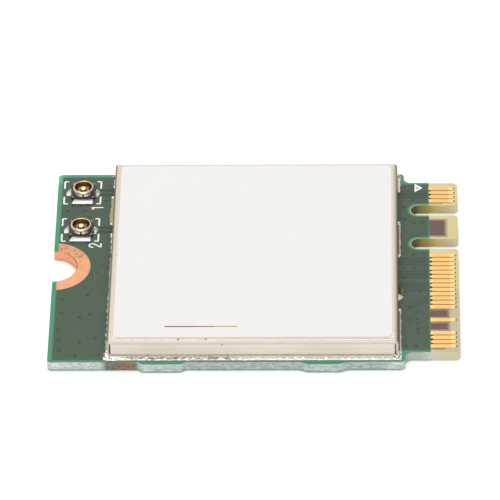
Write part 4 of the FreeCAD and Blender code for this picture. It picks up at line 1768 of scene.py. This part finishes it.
    def _section(self) -> dict[str, Array]:
        """Draw the ring's section from its inner lower corner, up the outside and back in.

        Returns:
            Points of each stretch as radius and height, in their order.
        """
        share = np.linspace(0.0, 1.0, 5)
        bend = np.linspace(0.0, np.pi / 2.0, 9)
        low, high = self.waist
        bead_wide, bead_high = self.bead
        rim_bore = self.radius - self.rim_width
        return {
            "skirt": np.array([
                (self.bore, self.seat), (self.radius - self.skirt_inset, self.seat),
            ]),
            "foot": np.column_stack([
                self.radius - self.waist_depth * share,
                self.base_top + (low - self.base_top) * share,
            ]),
            "waist": np.array([(self.radius - self.waist_depth, high)]),
            "bead": np.column_stack([
                self.radius - bead_wide * (1.0 - np.cos(bend)),
                self.top - bead_high * (1.0 - np.sin(bend)),
            ]),
            "inner": np.column_stack([
                rim_bore + self.rim_round * (1.0 - np.sin(bend)),
                self.top - self.rim_round * (1.0 - np.cos(bend)),
            ]),
            "funnel": np.array([(self.bore, self.base_top + self.funnel_rise)]),
        }

    def _feet(self) -> list[Surface]:
        """Shape the flat feet of the ring under the base: near, far and left.

        Returns:
            One plate for each foot.
        """
        x, y = self.centre
        start = self.radius - self.foot_overlap
        half, left_half = self.foot_half, self.left_foot_half
        boxes = (
            (x - half, x + half, y - self.foot_reach, y - start),
            (x - half, x + half, y + start, y + self.foot_reach),
            (x - self.foot_reach, x - start, y - left_half, y + left_half),
        )
        return [self._foot(box) for box in boxes]

    def _posts(self) -> list[Surface]:
        """Raise a small post at each corner of the base, pale with a painted highlight.

        Returns:
            One drop-shaped post for each corner.
        """
        x, y = self.centre
        low = self.base_top - self.post_sink
        return [
            lump(
                (x + side_x * self.post_offset, y + side_y * self.post_offset), self.post_radii,
                low, self.post_height, self.post_seed,
            )
            for side_x in (-1.0, 1.0) for side_y in (-1.0, 1.0)
        ]

    def _signal_foot(self) -> Surface:
        """Shape the flat foot of the pin, which runs out towards the can."""
        x, y = self.centre
        half = self.signal_foot_half
        return self._foot((x, x + self.foot_reach, y - half, y + half))

    def _foot(self, box: tuple[float, float, float, float]) -> Surface:
        """Make a flat foot with eased corners on the board.

        Args:
            box: Limits along X and along Y.

        Returns:
            The closed plate.
        """
        x_low, x_high, y_low, y_high = box
        rim = [(x_low, y_low), (x_high, y_low), (x_high, y_high), (x_low, y_high)]
        outline = rounded_path(rim, self.foot_round, closed=True)
        return plate(outline, self.seat, self.seat + self.foot_thickness, self.foot_ease)

    def _pin(self) -> Surface:
        """Turn the pin: a straight stem under a dome whose section is a quarter of an ellipse.

        Returns:
            The pin.
        """
        bend = np.linspace(0.0, 0.47 * np.pi, 10)
        dome_low = self.pin_top - self.pin_dome
        radius = np.concatenate([[self.pin_radius], self.pin_radius * np.cos(bend)])
        height = np.concatenate([[self.seat], dome_low + self.pin_dome * np.sin(bend)])
        angle = np.linspace(0.0, FULL_TURN, 48, endpoint=False)[None, :]
        across = radius[:, None]
        return loft(ring_points(self.centre, across, across, angle, height[:, None]))

    def _tails(self) -> list[Surface]:
        """Shape the solder on the tails: a near and a far bar, a left block and a signal hook.

        The hook is a strip along most of an ellipse, on a low pad.

        Returns:
            The closed lumps.
        """
        x, y = self.centre
        low = self.board.top - self.tail_sink
        tails = []
        for high, outline in self.tail_outlines:
            shifted = [(x + along, y + across) for along, across in outline]
            path = rounded_path(shifted, self.tail_round, closed=True)
            tails.append(plate(path, low, high, self.tail_ease))
        first_seed = self.tail_seed + 10 * self.number
        for seed, (offset, radii, height) in enumerate(self.tail_drops, first_seed):
            tails.append(lump((x + offset[0], y + offset[1]), radii, low, height, seed))
        turn = np.radians(np.linspace(160.0, -150.0, 30))
        middle = (x + self.hook_middle[0], y + self.hook_middle[1])
        hook = ring_points(middle, *self.hook_radii, turn)
        tails.append(ribbon(hook, self.hook_width, low, self.hook_top))
        return tails


@dataclass
class Wear:
    """Small marks of use: brown specks on the can and fine scratches in the mask."""

    board: Board
    specks: tuple[Place, ...] = (
        (-10.2, -0.26, 2.13), (-5.47, -10.03, 2.13), (-3.45, -10.01, 2.13),
    )
    speck_radii: Point = (0.09, 0.12)
    speck_sink: float = 0.02
    speck_height: float = 0.028
    speck_seed: int = 80
    scratches: tuple[tuple[Point, ...], ...] = (
        ((-11.93, -0.75), (-11.88, -1.1), (-11.83, -1.51)),
        ((-11.33, -0.4), (-11.31, -0.93)),
    )
    scratch_width: float = 0.025
    scratch_height: float = 0.016

    def build(self) -> None:
        """Place the specks and the scratches."""
        specks = [
            lump((x, y), self.speck_radii, z - self.speck_sink, self.speck_height, seed)
            for seed, (x, y, z) in enumerate(self.specks, start=self.speck_seed)
        ]
        place_piece("can_specks", joined(specks), Finishes.CAN_STAIN)
        low = self.board.top
        scratches = [
            ribbon(np.array(path), self.scratch_width, low, low + self.scratch_height)
            for path in self.scratches
        ]
        place_piece("mask_scratches", joined(scratches), Finishes.SCRATCHED_MASK)


@dataclass
class LabelFilm:
    """The blank label: a thin film with round corners and a soft cut edge."""

    corner_radius: float = 0.5
    edge: float = 0.03
    sharp_angle: float = 15.0

    def build(self) -> None:
        """Place the film where the frame has the label."""
        span = Span.of("label")
        (left, near, low), (right, far, high) = span.low, span.high
        rim = [(left, near), (right, near), (right, far), (left, far)]
        film = plate(rounded_path(rim, self.corner_radius, closed=True), low, high, self.edge)
        place_piece("label_film", film, Finishes.LABEL, ["label"], self.sharp_angle)


@dataclass
class Studio:
    """Pale floor, soft light and the camera, placed as the picture was taken."""

    floor_half: float = 400.0
    floor_gap: float = 0.03
    floor_colour: str = "#f2f2f0"
    floor_lift: float = 0.32
    room_colour: str = "#ffffff"
    room_level: float = 1.06
    room_end_level: float = 0.2
    room_fade: Point = (0.3, 0.7)
    lamps: tuple[tuple[str, Place, float, float], ...] = (
        ("soft_box_above", (-40.0, 60.0, 260.0), 170.0, 0.21),
        ("soft_box_front", (10.0, -270.0, 80.0), 160.0, 0.08),
    )
    azimuth: float = 1.5786
    elevation: float = 38.8149
    roll: float = -1.1162
    target: Place = (-0.4592, 1.9183, 0.8)
    distance: float = 432.065
    focal_length: float = 419.18
    sensor_width: float = 36.0
    view_depth: float = 10.0

    def build(self) -> None:
        """Place the floor, the light and the camera."""
        self._floor()
        self._world()
        for lamp in self.lamps:
            self._lamp(*lamp)
        self._camera()

    def _floor(self) -> None:
        """Lay the floor just under the card, white to the eye and keeping the card's shadow."""
        half = self.floor_half * MILLIMETRE
        level = -self.floor_gap * MILLIMETRE
        mesh = bpy.data.meshes.new("studio_floor")
        rim = [(-half, -half), (half, -half), (half, half), (-half, half)]
        mesh.from_pydata([(x, y, level) for x, y in rim], [], [(0, 1, 2, 3)])
        material = bpy.data.materials.new("matt_white_floor")
        material.use_nodes = True
        tree = material.node_tree
        tree.nodes.clear()
        rays = add_node(tree, "ShaderNodeLightPath").outputs
        seen = rays["Is Camera Ray"]
        for other in ("Is Glossy Ray", "Is Transmission Ray"):
            seen = add_node(tree, "ShaderNodeMath", MAXIMUM, {0: seen, 1: rays[other]}).outputs[0]
        lift = add_node(
            tree, "ShaderNodeMath", MULTIPLY, {0: seen, 1: self.floor_lift}
        ).outputs[0]
        paint = add_node(tree, "ShaderNodeBsdfDiffuse", inputs={
            "Color": linear(self.floor_colour),
        }).outputs[0]
        glow = add_node(tree, "ShaderNodeEmission", inputs={"Strength": lift}).outputs[0]
        both = add_node(tree, "ShaderNodeAddShader", inputs={0: paint, 1: glow}).outputs[0]
        add_node(tree, "ShaderNodeOutputMaterial", inputs={"Surface": both})
        mesh.materials.append(material)
        floor = link_object("studio_floor", mesh)

    def _world(self) -> None:
        """Light the card from all round, with a little less light from its two ends."""
        world = bpy.data.worlds.new("soft_white_room")
        world.use_nodes = True
        tree = world.node_tree
        tree.nodes.clear()
        heading = add_node(tree, "ShaderNodeTexCoord").outputs["Generated"]
        axes = add_node(tree, "ShaderNodeSeparateXYZ", inputs={0: heading}).outputs
        sideways = add_node(tree, "ShaderNodeMath", ABSOLUTE, {0: axes["X"]}).outputs[0]
        level = add_node(tree, "ShaderNodeMapRange", SMOOTH, {
            "Value": sideways,
            "From Min": self.room_fade[0],
            "From Max": self.room_fade[1],
            "To Min": self.room_level,
            "To Max": self.room_end_level,
        }).outputs["Result"]
        background = add_node(tree, "ShaderNodeBackground", inputs={
            "Color": linear(self.room_colour), "Strength": level,
        }).outputs[0]
        add_node(tree, "ShaderNodeOutputWorld", inputs={"Surface": background})
        bpy.context.scene.world = world

    @staticmethod
    def _stand(right: Array, up: Array, back: Array, place: Array) -> Matrix:
        """Give the matrix of a lamp or camera that looks against its back direction.

        Args:
            right: Direction of its right side.
            up: Direction of its upper side.
            back: Direction of its back.
            place: Where it stands, in metres.

        Returns:
            The matrix.
        """
        axes = np.eye(4)
        axes[:3] = np.column_stack([right, up, back, place])
        return Matrix(axes.tolist())

    def _lamp(self, name: str, place: Place, size: float, power: float) -> None:
        """Hang a soft box that points at the card.

        Args:
            name: Name of the lamp.
            place: Where it hangs.
            size: Length of its square face.
            power: Power in watts.
        """
        lamp = bpy.data.lights.new(name, "AREA")
        lamp.size = size * MILLIMETRE
        lamp.energy = power
        spot = np.array(place) * MILLIMETRE
        back = spot / np.linalg.norm(spot)
        side = np.cross((0.0, 1.0, 0.0), back)
        side /= np.linalg.norm(side)
        holder = link_object(name, lamp)
        holder.matrix_world = self._stand(side, np.cross(back, side), back, spot)

    def _camera(self) -> None:
        """Point the camera from its azimuth, elevation and roll at its target."""
        azimuth, elevation, roll = np.radians([self.azimuth, self.elevation, self.roll])
        level = np.cos(elevation)
        back = np.array([np.sin(azimuth) * level, -np.cos(azimuth) * level, np.sin(elevation)])
        right = np.cross(-back, (0.0, 0.0, 1.0))
        right /= np.linalg.norm(right)
        up = np.cross(right, -back)
        data = bpy.data.cameras.new("photo_camera")
        data.sensor_width = self.sensor_width
        data.lens = self.focal_length
        data.clip_end = self.view_depth
        camera = link_object("photo_camera", data)
        camera.matrix_world = self._stand(
            np.cos(roll) * right + np.sin(roll) * up,
            np.cos(roll) * up - np.sin(roll) * right,
            back,
            (np.array(self.target) + back * self.distance) * MILLIMETRE,
        )
        bpy.context.scene.camera = camera


def dress_nodes(nodes: dict[str, bpy.types.Object]) -> None:
    """Give every node of the frame its finish.

    Args:
        nodes: Objects of the frame by node name.
    """
    for finish, names in FINISH_NODES.items():
        for name in names:
            materials = nodes[name].data.materials
            for slot in range(len(materials)):
                materials[slot] = finish.value.material()
            LOG.info("%s: %s", name, finish.value.name)


def main() -> None:
    """Build the card on its frame, dress it and set up the studio."""
    logging.basicConfig(level=logging.INFO, format="%(message)s")
    for leftover in list(bpy.data.objects):
        bpy.data.objects.remove(leftover)
    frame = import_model()
    dress_nodes(frame["nodes"])
    board = Board()
    can = Span.of("shield_can")
    mounts = {mount["name"]: mount["pos_m"] for mount in frame["record"]["mounts"]}
    jack_places = tuple(
        (mounts[name][0] / MILLIMETRE, mounts[name][1] / MILLIMETRE)
        for name in ("antenna_jack_1", "antenna_jack_2")
    )
    MaskedCopper(board, can, jack_places).build()
    ScreenPrint(board, jack_places).build()
    EdgeDetails(board).build()
    ShieldSolder(board, can).build()
    LabelFilm().build()
    tails: list[Surface] = []
    for number, place in enumerate(jack_places, start=1):
        tails += AntennaJack(number, place, board).build()
    place_piece(
        "jack_tail_solder", joined(tails), Finishes.SOLDER, ["antenna_jack_solder"],
        SOLDER_ANGLE,
    )
    Wear(board).build()
    Studio().build()
    bpy.context.scene.view_settings.view_transform = "Standard"


if __name__ == "__main__":
    main()
